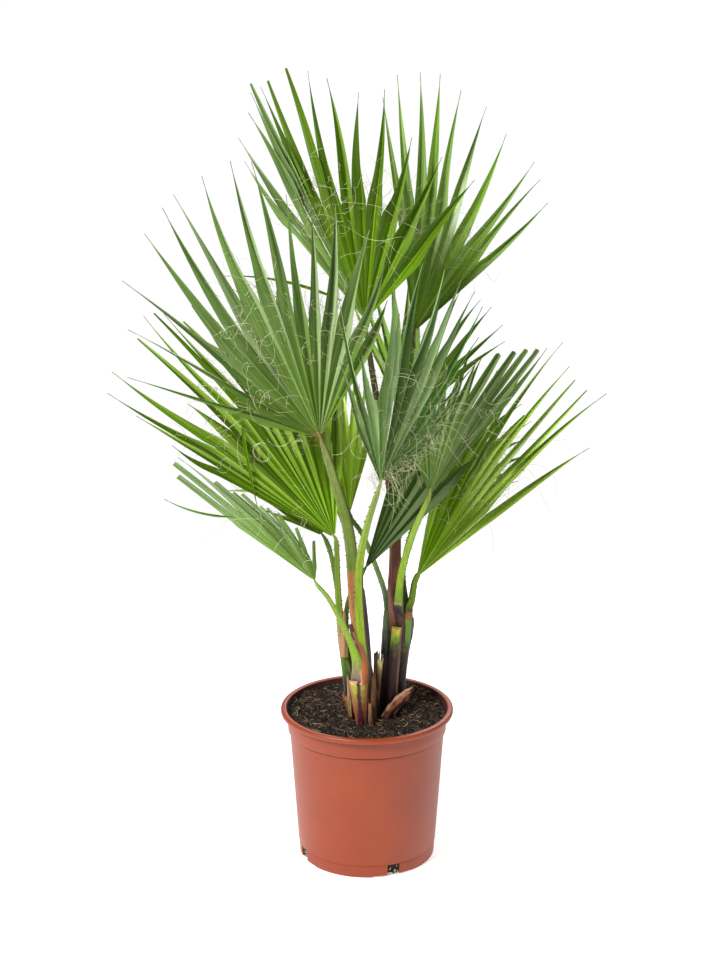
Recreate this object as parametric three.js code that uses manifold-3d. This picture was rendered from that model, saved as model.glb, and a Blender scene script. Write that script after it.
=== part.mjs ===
// Mexican fan palm about 1.1 m tall in a 24 cm nursery pot.
// Millimetres, +Z up. The origin is the middle of the pot's underside, and the front of the plant faces -Y.

import * as THREE from 'three';
import { mergeVertices } from 'three/addons/utils/BufferGeometryUtils.js';
import Module from 'manifold-3d';

const wasm = await Module();
wasm.setup();

// Pot
const rimRadius = 120;
const potHeight = 217;
const potWall = 1.9;
const potSides = 48;
const lipHeight = 8;
const lipRound = 3;
const lipInnerTop = potHeight - 1.5;
const collarRadius = 110.5;
const lipInner = collarRadius + 1.5;
const collarFoot = 185;
const collarInnerFoot = collarFoot - 6;
const collarStep = 2;
const footRadius = 94.5;
const bandHeight = 18;
const floorThickness = 3;
const footPadRadius = 60;
const footRecess = 1.8;
const slotCount = 4;
const firstSlotAngle = 22.7;
const slotWidth = 18;
const slotHeight = 17;
const slotDepth = 30;
const recessAngle = 36;
const cutMargin = 5;

// Soil
const soilHeight = 210;
const soilEdgeDrop = 2;
const soilCrownRadius = 68;

// Clearance between pieces that touch
const gap = 0.3;

// Leaf-base clumps that the petioles stand on
const leftClump = {
  foot: [-8, -31], footRadius: 17, flareRadius: 15, waistRadius: 20,
  crown: [-12.5, -29], crownRadius: 22.5, top: 246,
};
const rightClump = {
  foot: [29, 3], footRadius: 19, flareRadius: 20, waistRadius: 19.5,
  crown: [44.5, 1], crownRadius: 21.5, top: 346,
};

// Petioles and blades
const petioleSides = 8;
const petioleSteps = 9;
const petioleFlatness = 0.72;
const petioleTipHalfWidth = 4.2;
const hubRadius = 6;
const pleatDepth = 0.26;
const tipHalfWidth = 0.8;
const bladeThickness = 3.6;
const freeSteps = [0.35, 0.72, 1];

// Old leaf bases, cut off or fallen: straight strips from foot to top, wide across and thin towards
// the stem they lie against. facing is the direction of their broad face, in degrees from +X.
const leafBases = [
  {
    name: 'leaf_base_front', foot: [-8, -55, 210.5], top: [-13, -58, 278], facing: -95,
    halfWidths: [8, 13.5], halfThickness: 3.4, color: 0xc87840,
  },
  {
    name: 'leaf_base_right', foot: [31, -20.5, 210.5], top: [41, -26, 343], facing: -90,
    halfWidths: [9, 7], halfThickness: 2.2, color: 0x3a2a30,
  },
  {
    name: 'leaf_base_middle', foot: [14, -28, 210.5], top: [16, -33, 307], facing: -80,
    halfWidths: [4, 5], halfThickness: 2.4, color: 0xa0604a,
  },
  {
    name: 'fallen_sheath', foot: [23, -32, 212.6], top: [63, -29, 256], facing: -90,
    halfWidths: [7, 5.5], halfThickness: 1.6, color: 0xb98a68,
  },
];

// Every frond: the petiole rises from its clump at base through the points of via to the blade's hub.
// aim is the blade's middle direction seen from the front, in degrees up from +X. back leans it away
// from the front, and turn swings its right side away. spread is the whole fan, lengths are those of
// its leaflets at even steps from the left edge to the right. cup folds the outer leaflets forward.
// joined is the share of a leaflet that is grown together with its neighbours. cuts gives the share
// of its length that a trimmed leaflet keeps, by its number from the left.
const fronds = [
  {
    name: 'upper_left', clump: leftClump, base: [-12, -26], halfWidth: 7,
    via: [[-18, -36, 370], [-24, -56, 485], [-44, -80, 572]], hub: [-62, -95, 634],
    aim: 112, back: -6, turn: -10, spread: 104, leaflets: 16, joined: 0.5, cup: 10, droop: 0.03,
    lengths: [250, 300, 350, 395, 350, 335, 285], cuts: {}, color: 0x7e9e6e,
  },
  {
    name: 'lower_left', clump: leftClump, base: [-25, -27], halfWidth: 4.8,
    via: [[-35, -14, 324], [-40, -10, 396]], hub: [-44, -10, 467],
    aim: 118, back: 4, turn: 14, spread: 66, leaflets: 13, joined: 0.55, cup: 8, droop: 0.02,
    lengths: [375, 390, 385, 385, 360, 280, 220], cuts: { 2: 0.94, 4: 0.95, 6: 0.9 }, color: 0x5e9a12,
  },
  {
    name: 'low_front', clump: leftClump, base: [-13, -42], halfWidth: 4,
    via: [[-13, -56, 301], [-27, -82, 355], [-49, -125, 418]], hub: [-68, -150, 454],
    aim: 113, back: -24, turn: -30, spread: 58, leaflets: 12, joined: 0.5, cup: 8, droop: 0.02,
    lengths: [245, 262, 170, 140, 125, 115, 120], cuts: { 0: 0.95, 1: 0.93, 3: 0.85 }, color: 0x83a27c,
  },
  {
    name: 'centre_front', clump: leftClump, base: [1, -38], halfWidth: 6.5,
    via: [[-8, -58, 345], [-11, -78, 440], [-2, -98, 507]], hub: [17, -125, 581],
    aim: 76, back: -22, turn: 25, spread: 66, leaflets: 14, joined: 0.5, cup: 10, droop: 0.02,
    lengths: [250, 300, 370, 370, 305, 190, 130], cuts: {}, color: 0x6e9a78,
  },
  {
    name: 'low_back', clump: leftClump, base: [-20, -13], halfWidth: 3.5,
    via: [[-29, 0, 345], [-20, -14, 395]], hub: [-4, -32, 429],
    aim: 59, back: 12, turn: 10, spread: 34, leaflets: 6, joined: 0.8, cup: 4, droop: 0,
    lengths: [180, 205, 210, 215, 200], cuts: {}, color: 0x2f5a20,
  },
  {
    name: 'rear_low_left', clump: leftClump, base: [-9, -12], halfWidth: 3.5,
    via: [[-34, 17, 340], [-48, 31, 420]], hub: [-60, 45, 451],
    aim: 135, back: 35, turn: 20, spread: 60, leaflets: 10, joined: 0.55, cup: 8, droop: 0.02,
    lengths: [90, 130, 170, 190, 160], cuts: {}, color: 0x6f9a3a,
  },
  {
    name: 'rear_left', clump: leftClump, base: [-1, -19], halfWidth: 4,
    via: [[-6, 20, 335], [-22, 75, 425]], hub: [-45, 112, 480],
    aim: 128, back: 52, turn: 0, spread: 96, leaflets: 14, joined: 0.5, cup: 12, droop: 0.06,
    lengths: [180, 230, 260, 270, 260, 220, 170], cuts: {}, color: 0x4c7a2c,
  },
  {
    name: 'right_front', clump: rightClump, base: [42, -14], halfWidth: 5.5,
    via: [[46, -30, 420], [61, -45, 484]], hub: [83, -55, 544],
    aim: 82, back: -12, turn: -22, spread: 56, leaflets: 14, joined: 0.6, cup: 8, droop: 0,
    lengths: [95, 105, 130, 175, 225, 270, 305], cuts: { 9: 0.93, 11: 0.94, 12: 0.92 }, color: 0x5b7f3a,
  },
  {
    name: 'lower_right', clump: rightClump, base: [56.5, 2], halfWidth: 4.5,
    via: [[60, 9, 370]], hub: [68, 26, 397],
    aim: 62, back: 12, turn: 20, spread: 50, leaflets: 12, joined: 0.55, cup: 8, droop: 0.06,
    lengths: [168, 218, 278, 388, 368, 373, 303], cuts: { 7: 0.95, 8: 0.96 }, color: 0x5e9a12,
  },
  {
    name: 'rear_centre', clump: rightClump, base: [28.5, 7], halfWidth: 4,
    via: [[21, 25, 388], [-4, 35, 452]], hub: [-24, 40, 485],
    aim: 100, back: 30, turn: 40, spread: 46, leaflets: 9, joined: 0.55, cup: 8, droop: 0.02,
    lengths: [150, 200, 230, 230, 180], cuts: {}, color: 0x86a82a,
  },
  {
    name: 'top_front', clump: rightClump, base: [40, 1], halfWidth: 7,
    via: [[39, 3, 455], [24, 12, 585], [6, 20, 696]], hub: [-3, 25, 762],
    aim: 90, back: -10, turn: -22, spread: 80, leaflets: 17, joined: 0.5, cup: 8, droop: 0,
    lengths: [262, 335, 352, 312, 300, 265, 270], cuts: { 3: 0.97 }, color: 0x6fa31c,
  },
  {
    name: 'top_back', clump: rightClump, base: [42, 15.5], halfWidth: 5,
    via: [[42, 36, 450], [44, 56, 560], [50, 76, 670]], hub: [64, 90, 730],
    aim: 72, back: 20, turn: 12, spread: 58, leaflets: 12, joined: 0.5, cup: 8, droop: 0,
    lengths: [325, 345, 350, 330, 305, 285, 250], cuts: {}, color: 0x3f6b24,
  },
  {
    name: 'rear_right', clump: rightClump, base: [54, 14], halfWidth: 4,
    via: [[50, 45, 405], [66, 98, 450]], hub: [82, 125, 478],
    aim: 55, back: 42, turn: 0, spread: 96, leaflets: 14, joined: 0.5, cup: 12, droop: 0.06,
    lengths: [170, 220, 260, 270, 260, 230, 180], cuts: {}, color: 0x4c7a2c,
  },
  {
    name: 'rear_high', clump: rightClump, base: [30.5, 17.5], halfWidth: 3.5,
    via: [[33, 36, 390], [36, 65, 460], [40, 92, 550]], hub: [50, 118, 592],
    aim: 74, back: 50, turn: 0, spread: 72, leaflets: 12, joined: 0.5, cup: 10, droop: 0.04,
    lengths: [200, 240, 265, 275, 265, 240, 200], cuts: {}, color: 0x4c7a2c,
  },
];

const radians = THREE.MathUtils.degToRad;
const lerp = THREE.MathUtils.lerp;

function toManifold(geometry) {
  const bare = geometry.clone();
  bare.deleteAttribute('normal');
  bare.deleteAttribute('uv');
  const merged = mergeVertices(bare, 1e-4);
  return new wasm.Manifold(new wasm.Mesh({
    numProp: 3,
    vertProperties: new Float32Array(merged.attributes.position.array),
    triVerts: new Uint32Array(merged.index.array),
  }));
}

function fromManifold(solid) {
  const mesh = solid.getMesh();
  const geometry = new THREE.BufferGeometry();
  geometry.setAttribute('position', new THREE.BufferAttribute(mesh.vertProperties, 3));
  geometry.setIndex(new THREE.BufferAttribute(mesh.triVerts, 1));
  return geometry;
}

function material(color, roughness) {
  return new THREE.MeshStandardMaterial({ color, roughness, metalness: 0, side: THREE.DoubleSide });
}

function solidMesh(name, geometry, color, roughness) {
  const mesh = new THREE.Mesh(geometry, material(color, roughness));
  mesh.name = name;
  return mesh;
}

// A turned solid about Z from its half profile of [radius, height] pairs
function turned(profile, sides) {
  const lathe = new THREE.LatheGeometry(profile.map(([r, z]) => new THREE.Vector2(r, z)), sides);
  lathe.rotateX(Math.PI / 2);
  return lathe;
}

function innerRadius(z) {
  return lerp(footRadius, collarRadius - collarStep, z / collarFoot) - potWall;
}

// The pot's inner wall above the collar, up to the rounded inner edge of its rim
function upperInnerRadius(z) {
  return lerp(innerRadius(collarFoot), lipInner, (z - collarInnerFoot) / (lipInnerTop - collarInnerFoot));
}

function potGeometry() {
  const lipUnder = potHeight - lipHeight;
  const profile = [
    [0, 0],
    [footRadius, 0],
    [footRadius + 1, bandHeight],
    [footRadius + 1.8, bandHeight + 1],
    [collarRadius - collarStep - 1, collarFoot - 1],
    [collarRadius - 0.5, collarFoot],
    [collarRadius + 0.5, lipUnder],
    [rimRadius - lipRound, lipUnder],
    [rimRadius, lipUnder + lipRound],
    [rimRadius, potHeight - lipRound],
    [rimRadius - lipRound, potHeight],
    [lipInner + 1, potHeight],
    [lipInner, lipInnerTop],
    [innerRadius(collarFoot), collarInnerFoot],
    [innerRadius(0), floorThickness + 1],
    [innerRadius(0) - 1, floorThickness],
    [0, floorThickness],
  ];
  let pot = toManifold(turned(profile, potSides));
  for (let i = 0; i < slotCount; i += 1) {
    const angle = radians(firstSlotAngle - 90 + i * 360 / slotCount);
    const slot = new THREE.BoxGeometry(slotDepth, slotWidth, slotHeight + cutMargin);
    slot.translate(footRadius, 0, (slotHeight - cutMargin) / 2);
    slot.rotateZ(angle);
    pot = pot.subtract(toManifold(slot));
    pot = pot.subtract(toManifold(footRecessGeometry(angle)));
  }
  return fromManifold(pot);
}

// The shallow wedge under the pot at a drainage slot
function footRecessGeometry(angle) {
  const half = radians(recessAngle / 2);
  const shape = new THREE.Shape();
  shape.absarc(0, 0, footRadius + cutMargin, angle - half, angle + half, false);
  shape.absarc(0, 0, footPadRadius, angle + half, angle - half, true);
  const depth = footRecess + cutMargin;
  const wedge = new THREE.ExtrudeGeometry(shape, { depth, bevelEnabled: false, curveSegments: 5 });
  wedge.translate(0, 0, -cutMargin);
  return wedge;
}

function soilGeometry() {
  const bottom = floorThickness + gap;
  const edgeHeight = soilHeight - soilEdgeDrop;
  const profile = [
    [0, bottom],
    [innerRadius(0) - 2, bottom],
    [innerRadius(0) - gap, bottom + 2],
    [innerRadius(collarFoot) - gap, collarInnerFoot],
    [upperInnerRadius(edgeHeight) - gap, edgeHeight],
    [soilCrownRadius, soilHeight],
    [0, soilHeight],
  ];
  return turned(profile, potSides);
}

// A clump of leaf bases: a round foot that flares at the soil and widens again to its crown
function clumpGeometry(clump) {
  const bottom = soilHeight + gap;
  const height = clump.top - bottom;
  const geometry = new THREE.CylinderGeometry(1, 1, 1, 14, 4);
  geometry.rotateX(Math.PI / 2);
  const radiusAt = new THREE.SplineCurve([
    new THREE.Vector2(0, clump.flareRadius),
    new THREE.Vector2(0.25, clump.footRadius),
    new THREE.Vector2(0.6, clump.waistRadius),
    new THREE.Vector2(1, clump.crownRadius),
  ]);
  const position = geometry.attributes.position;
  for (let i = 0; i < position.count; i += 1) {
    const u = position.getZ(i) + 0.5;
    const radius = radiusAt.getPoint(u).y;
    position.setXYZ(
      i,
      lerp(clump.foot[0], clump.crown[0], u) + position.getX(i) * radius,
      lerp(clump.foot[1], clump.crown[1], u) + position.getY(i) * radius,
      bottom + u * height,
    );
  }
  return geometry;
}

// The blade's own directions: middle runs out along it, side to its right, normal to its face
function bladeFrame(frond) {
  const [aim, back, turn] = [frond.aim, frond.back, frond.turn].map(radians);
  const middle = new THREE.Vector3(Math.cos(aim), Math.tan(back), Math.sin(aim)).normalize();
  const level = new THREE.Vector3(Math.sin(aim), 0, -Math.cos(aim));
  const face = new THREE.Vector3().crossVectors(level, middle);
  const side = level.clone().multiplyScalar(Math.cos(turn)).addScaledVector(face, -Math.sin(turn));
  const normal = face.clone().multiplyScalar(Math.cos(turn)).addScaledVector(level, Math.sin(turn));
  return { middle, side, normal };
}

function lengthAt(frond, theta) {
  const place = (theta / frond.spread + 0.5) * (frond.lengths.length - 1);
  const step = Math.min(Math.floor(Math.max(place, 0)), frond.lengths.length - 2);
  return lerp(frond.lengths[step], frond.lengths[step + 1], place - step);
}

// A point of the blade at angle theta, a share t of the leaflet out from the hub,
// moved across by aside and off the face by lift
function bladePoint(frond, frame, theta, t, aside, lift) {
  const length = lengthAt(frond, theta);
  const angle = radians(theta);
  const fold = radians(frond.cup * Math.abs(2 * theta / frond.spread) ** 1.5);
  const point = new THREE.Vector3(...frond.hub);
  point.addScaledVector(frame.middle, Math.cos(fold) * Math.cos(angle) * length * t);
  point.addScaledVector(frame.side, Math.cos(fold) * Math.sin(angle) * length * t);
  point.addScaledVector(frame.normal, Math.sin(fold) * length * t + lift);
  point.addScaledVector(frame.middle, -Math.sin(angle) * aside);
  point.addScaledVector(frame.side, Math.cos(angle) * aside);
  point.z -= frond.droop * length * t ** 2.5;
  return point;
}

// A pleated fan: every leaflet is a V with its rib low and its edges high. Neighbours share their
// edges as far as they are joined, and from there each tapers to its own tip.
function bladeGeometry(frond) {
  const frame = bladeFrame(frond);
  const step = frond.spread / frond.leaflets;
  const top = [];
  const faces = [];
  const keys = new Map();
  const vertex = (key, point) => {
    if (!keys.has(key)) {
      keys.set(key, top.length);
      top.push(point);
    }
    return keys.get(key);
  };
  const quad = (a, b, c, d) => faces.push([a, b, c], [a, c, d]);

  for (let i = 0; i < frond.leaflets; i += 1) {
    const left = -frond.spread / 2 + i * step;
    const rib = left + step / 2;
    const length = lengthAt(frond, rib);
    const kept = frond.cuts[i] ?? 1;
    const widest = length * frond.joined * radians(step) / 2;
    const joinedRows = [hubRadius / length, frond.joined].map((t, row) => {
      const pleat = length * t * radians(step) * pleatDepth;
      const shared = (edge, theta) => vertex(
        `edge ${edge} ${row}`,
        bladePoint(frond, frame, theta, row === 0 ? hubRadius / lengthAt(frond, theta) : t, 0, pleat),
      );
      return [
        shared(i, left),
        vertex(`rib ${i} ${row}`, bladePoint(frond, frame, rib, t, 0, -pleat)),
        shared(i + 1, left + step),
      ];
    });
    const freeRows = freeSteps.map((share, row) => {
      const t = frond.joined + (kept - frond.joined) * share;
      const along = (t - frond.joined) / (1 - frond.joined);
      const half = Math.max(widest * (1 - along ** 1.3), tipHalfWidth);
      const lift = half * 2 * pleatDepth;
      return [
        vertex(`left ${i} ${row}`, bladePoint(frond, frame, rib, t, -half, lift)),
        vertex(`free ${i} ${row}`, bladePoint(frond, frame, rib, t, 0, -lift)),
        vertex(`right ${i} ${row}`, bladePoint(frond, frame, rib, t, half, lift)),
      ];
    });
    const rows = [...joinedRows, ...freeRows];
    for (let row = 0; row + 1 < rows.length; row += 1) {
      quad(rows[row][0], rows[row][1], rows[row + 1][1], rows[row + 1][0]);
      quad(rows[row][1], rows[row][2], rows[row + 1][2], rows[row + 1][1]);
    }
  }
  return thickened(top, faces, frame.normal, bladeThickness);
}

// A closed sheet: the given faces, the same faces moved by thickness along -normal, and walls between
function thickened(points, faces, normal, thickness) {
  const count = points.length;
  const positions = [];
  for (const offset of [thickness / 2, -thickness / 2]) {
    for (const point of points) {
      positions.push(...point.clone().addScaledVector(normal, offset).toArray());
    }
  }
  const index = [];
  const edges = new Map();
  for (const [a, b, c] of faces) {
    index.push(a, b, c, a + count, c + count, b + count);
    for (const [from, to] of [[a, b], [b, c], [c, a]]) {
      if (!edges.delete(`${to} ${from}`)) edges.set(`${from} ${to}`, [from, to]);
    }
  }
  for (const [from, to] of edges.values()) {
    index.push(from, from + count, to + count, from, to + count, to);
  }
  const geometry = new THREE.BufferGeometry();
  geometry.setAttribute('position', new THREE.Float32BufferAttribute(positions, 3));
  geometry.setIndex(index);
  return geometry;
}

// A petiole: a tapering stalk, flatter than wide, that stands square on its clump
// and ends square to the blade
function petioleGeometry(frond) {
  const frame = bladeFrame(frond);
  const halfSpread = radians(frond.spread / 2);
  const start = new THREE.Vector3(...frond.base, frond.clump.top + gap);
  const hub = new THREE.Vector3(...frond.hub);
  const end = hub.clone().addScaledVector(frame.middle, hubRadius * Math.cos(halfSpread) - gap);
  const path = new THREE.CatmullRomCurve3([
    start,
    start.clone().add(new THREE.Vector3(0, 0, 12)),
    ...frond.via.map((point) => new THREE.Vector3(...point)),
    hub.clone().addScaledVector(frame.middle, -8),
    end,
  ]);
  const geometry = new THREE.CylinderGeometry(1, 1, 1, petioleSides, petioleSteps);
  geometry.rotateX(Math.PI / 2);
  const position = geometry.attributes.position;
  const levelSide = new THREE.Vector3(frame.side.x, frame.side.y, 0).normalize();
  for (let i = 0; i < position.count; i += 1) {
    const u = position.getZ(i) + 0.5;
    const ahead = path.getTangentAt(u);
    if (u < 1e-6) ahead.set(0, 0, 1);
    if (u > 1 - 1e-6) ahead.copy(frame.middle);
    const across = levelSide.clone().lerp(frame.side, u);
    across.addScaledVector(ahead, -across.dot(ahead)).normalize();
    const up = new THREE.Vector3().crossVectors(ahead, across);
    const half = lerp(frond.halfWidth, petioleTipHalfWidth, u ** 0.6);
    const point = path.getPointAt(u);
    point.addScaledVector(across, position.getX(i) * half);
    point.addScaledVector(up, position.getY(i) * half * lerp(1, petioleFlatness, Math.min(u * 4, 1)));
    position.setXYZ(i, point.x, point.y, point.z);
  }
  return geometry;
}

function leafBaseGeometry(leafBase) {
  const foot = new THREE.Vector3(...leafBase.foot);
  const top = new THREE.Vector3(...leafBase.top);
  const ahead = top.clone().sub(foot).normalize();
  const facing = new THREE.Vector3(Math.cos(radians(leafBase.facing)), Math.sin(radians(leafBase.facing)), 0);
  const across = new THREE.Vector3().crossVectors(facing, ahead).normalize();
  const out = new THREE.Vector3().crossVectors(ahead, across);
  const geometry = new THREE.CylinderGeometry(1, 1, 1, 10, 3);
  geometry.rotateX(Math.PI / 2);
  const position = geometry.attributes.position;
  for (let i = 0; i < position.count; i += 1) {
    const u = position.getZ(i) + 0.5;
    const half = lerp(leafBase.halfWidths[0], leafBase.halfWidths[1], u);
    const point = foot.clone().lerp(top, u);
    point.addScaledVector(across, position.getX(i) * half);
    point.addScaledVector(out, position.getY(i) * leafBase.halfThickness);
    point.z = Math.max(point.z, soilHeight + gap);
    position.setXYZ(i, point.x, point.y, point.z);
  }
  return geometry;
}

const group = new THREE.Group();
group.add(solidMesh('pot', potGeometry(), 0xbf6044, 0.45));
group.add(solidMesh('soil', soilGeometry(), 0x2e2118, 1));
group.add(solidMesh('stem_left', clumpGeometry(leftClump), 0xa0604a, 0.7));
group.add(solidMesh('stem_right', clumpGeometry(rightClump), 0x3a2a30, 0.7));
for (const leafBase of leafBases) {
  group.add(solidMesh(leafBase.name, leafBaseGeometry(leafBase), leafBase.color, 0.8));
}
for (const frond of fronds) {
  group.add(solidMesh(`petiole_${frond.name}`, petioleGeometry(frond), 0x8fb53c, 0.5));
  group.add(solidMesh(`blade_${frond.name}`, bladeGeometry(frond), frond.color, 0.6));
}

export default group;
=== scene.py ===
import functools
import math
import random

import bpy
from mathutils import Matrix, Vector, noise


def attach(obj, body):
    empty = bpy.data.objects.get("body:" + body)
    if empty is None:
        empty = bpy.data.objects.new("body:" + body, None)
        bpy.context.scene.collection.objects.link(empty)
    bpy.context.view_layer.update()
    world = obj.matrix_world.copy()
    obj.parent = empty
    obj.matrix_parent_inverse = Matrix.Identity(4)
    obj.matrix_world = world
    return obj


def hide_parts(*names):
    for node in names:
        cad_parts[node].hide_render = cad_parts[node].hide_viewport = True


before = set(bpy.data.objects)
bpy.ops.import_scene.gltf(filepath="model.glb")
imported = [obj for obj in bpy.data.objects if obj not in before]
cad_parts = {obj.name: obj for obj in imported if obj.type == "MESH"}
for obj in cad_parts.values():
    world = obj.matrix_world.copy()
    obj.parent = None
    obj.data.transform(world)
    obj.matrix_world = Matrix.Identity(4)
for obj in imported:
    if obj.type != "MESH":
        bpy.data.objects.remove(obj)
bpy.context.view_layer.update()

# A young Mexican fan palm in a nursery pot; its front faces -Y. Lengths are in metres and angles in
# degrees, but the tables of the fronds, stalk colours and leaf bases are in millimetres.

rng = random.Random(24)


def hexColor(code, gain=1.0):
    # sRGB hex to the linear colour that a shader socket takes
    channels = [int(code[i:i + 2], 16) / 255 for i in (1, 3, 5)]
    linear = [c / 12.92 if c <= 0.04045 else ((c + 0.055) / 1.055) ** 2.4 for c in channels]
    return (*[min(1.0, c * gain) for c in linear], 1.0)


def point(sizes):
    # millimetres to metres
    return Vector([size / 1000 for size in sizes])


def mix(a, b, t):
    return a + (b - a) * t


def smooth(t):
    t = min(max(t, 0.0), 1.0)
    return t * t * (3 - 2 * t)


def gaussVector(size=1):
    return Vector([rng.gauss(0, size) for _ in range(3)])


def feed(node, inputs):
    # each input takes a plain value, or the socket that feeds it
    for name, value in inputs.items():
        if isinstance(value, bpy.types.NodeSocket):
            node.id_data.links.new(value, node.inputs[name])
        else:
            node.inputs[name].default_value = value


def addNode(tree, kind, inputs=None, output=None, stops=(), **settings):
    # one node with its settings, its inputs and its colour stops; gives the socket that it puts out
    node = tree.nodes.new('ShaderNode' + kind)
    for name, value in settings.items():
        setattr(node, name, value)
    feed(node, inputs or {})
    for i, (spot, color) in enumerate(stops):
        element = node.color_ramp.elements[i] if i < 2 else node.color_ramp.elements.new(spot)
        element.position = spot
        element.color = color
    return node.outputs[output] if output else next(socket for socket in node.outputs if socket.enabled)


def newMaterial(name):
    # the material, its shader, what adds a node to it, and the place that its patterns read
    made = bpy.data.materials.new(name)
    made.use_nodes = True
    add = functools.partial(addNode, made.node_tree)
    return made, made.node_tree.nodes['Principled BSDF'], add, add('TexCoord', output='Object')


def stretchedNoise(add, place, scale, detail, roughness):
    stretched = add('Mapping', {'Vector': place, 'Scale': scale})
    return add('TexNoise', {'Vector': stretched, 'Scale': 1, 'Detail': detail, 'Roughness': roughness})


def streakedColor(add, color, noise, darkAt, lightAt, dark, light):
    # the colour times a grey that follows the noise
    shade = add('MapRange', {'Value': noise, 'From Min': darkAt, 'From Max': lightAt, 'To Min': dark,
                             'To Max': light})
    gray = add('CombineXYZ', {axis: shade for axis in 'XYZ'})
    return add('Mix', {'Factor': 1.0, 'A': color, 'B': gray}, data_type='RGBA', blend_type='MULTIPLY')


def circle(angle, radius=1.0):
    return radius * math.cos(angle), radius * math.sin(angle)


def activate(piece):
    bpy.ops.object.select_all(action='DESELECT')
    piece.select_set(True)
    bpy.context.view_layer.objects.active = piece


def applyModifier(piece, kind, **settings):
    activate(piece)
    modifier = piece.modifiers.new('step', kind)
    for name, value in settings.items():
        setattr(modifier, name, value)
    bpy.ops.object.modifier_apply(modifier='step')


def smoothPiece(piece, angle):
    activate(piece)
    bpy.ops.object.shade_smooth_by_angle(angle=math.radians(angle))


def closeMesh():
    bpy.ops.mesh.select_all(action='SELECT')
    bpy.ops.mesh.fill_holes(sides=0)
    bpy.ops.mesh.normals_make_consistent(inside=False)
    bpy.ops.object.mode_set(mode='OBJECT')


def finishPiece(piece, slot, node=None):
    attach(piece, "root")
    if node:
        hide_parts(node)


# Camera: about 3 m in front of the plant, a little above its top, looking down
cameraRig = dict(place=(-0.0098, -3.0, 1.475), down=17.2, lens=87.15)


def makeCamera():
    turn = (math.radians(90 - cameraRig['down']), 0, 0)
    bpy.ops.object.camera_add(location=cameraRig['place'], rotation=turn)
    camera = bpy.context.object
    camera.name = 'photoCamera'
    camera.data.lens = cameraRig['lens']
    bpy.context.scene.camera = camera


# Pot: injection-moulded nursery pot, 24 cm across its rim. The lip is the rolled edge, the collar the
# band below it, which starts at collarFoot; inside, the wall is straight up to flareStart.
pot = dict(
    rim=0.120, height=0.217, wall=0.0019, lip=0.008, lipRound=0.003, lipInside=0.0016, collar=0.1105,
    collarFoot=0.185, collarStep=0.002, flareStart=0.179, foot=0.0945, footRound=0.0014, band=0.018,
    floor=0.003, pad=0.060, middle=0.002, segments=160, slots=4, firstSlot=22.7, slotWidth=0.018,
    slotHeight=0.017, recess=0.0018, recessAngle=36, below=0.005,
)


def potPlastic():
    # Polypropylene, injection-moulded in terracotta brown: an even satin colour with faint cloudy
    # streaks, a soft sheen on the rounded edges and light dust scuffs
    made, shader, add, place = newMaterial('polypropyleneMouldedTerracotta')
    clouds = add('TexNoise', {'Vector': place, 'Scale': 14, 'Detail': 5, 'Roughness': 0.6})
    body = add('ValToRGB', {'Fac': clouds},
               stops=[(0.35, hexColor('#8A330E')), (0.7, hexColor('#943B14'))])
    dust = add('TexNoise', {'Vector': place, 'Scale': 90, 'Detail': 6, 'Roughness': 0.7})
    dusty = add('MapRange', {'Value': dust, 'From Min': 0.62, 'From Max': 0.8, 'To Max': 0.16})
    color = add('Mix', {'Factor': dusty, 'A': body, 'B': hexColor('#AE7D62')}, data_type='RGBA')
    rough = add('MapRange', {'Value': clouds, 'To Min': 0.36, 'To Max': 0.52})
    # the mould's fine grain, about 1 mm
    grain = add('TexNoise', {'Vector': place, 'Scale': 900, 'Detail': 2})
    bump = add('Bump', {'Height': grain, 'Strength': 0.12, 'Distance': 0.0004})
    feed(shader, {'Base Color': color, 'Roughness': rough, 'Normal': bump, 'IOR': 1.49})
    return made


def arcPoints(centre, radius, start, end, steps):
    spokes = [circle(math.radians(mix(start, end, i / steps)), radius) for i in range(steps + 1)]
    return [(centre[0] + x, centre[1] + y) for x, y in spokes]


def turnedPiece(name, profile, segments):
    # a ring is added at the first point and pulled along the profile by extrude and resize
    radius, height = profile[0]
    bpy.ops.mesh.primitive_circle_add(vertices=segments, radius=radius, location=(0, 0, height))
    piece = bpy.context.object
    piece.name = name
    bpy.ops.object.transform_apply()
    bpy.ops.object.mode_set(mode='EDIT')
    bpy.ops.mesh.select_all(action='SELECT')
    for nextRadius, nextHeight in profile[1:]:
        bpy.ops.mesh.extrude_region_move(TRANSFORM_OT_translate={'value': (0, 0, nextHeight - height)})
        scale = nextRadius / radius
        bpy.ops.transform.resize(value=(scale, scale, 1), center_override=(0, 0, nextHeight))
        radius, height = nextRadius, nextHeight
    closeMesh()
    return piece


def innerRadius(height):
    return mix(pot['foot'], pot['collar'] - pot['collarStep'], height / pot['collarFoot']) - pot['wall']


def slotAngles():
    return [math.radians(pot['firstSlot'] - 90 + i * 360 / pot['slots']) for i in range(pot['slots'])]


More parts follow.
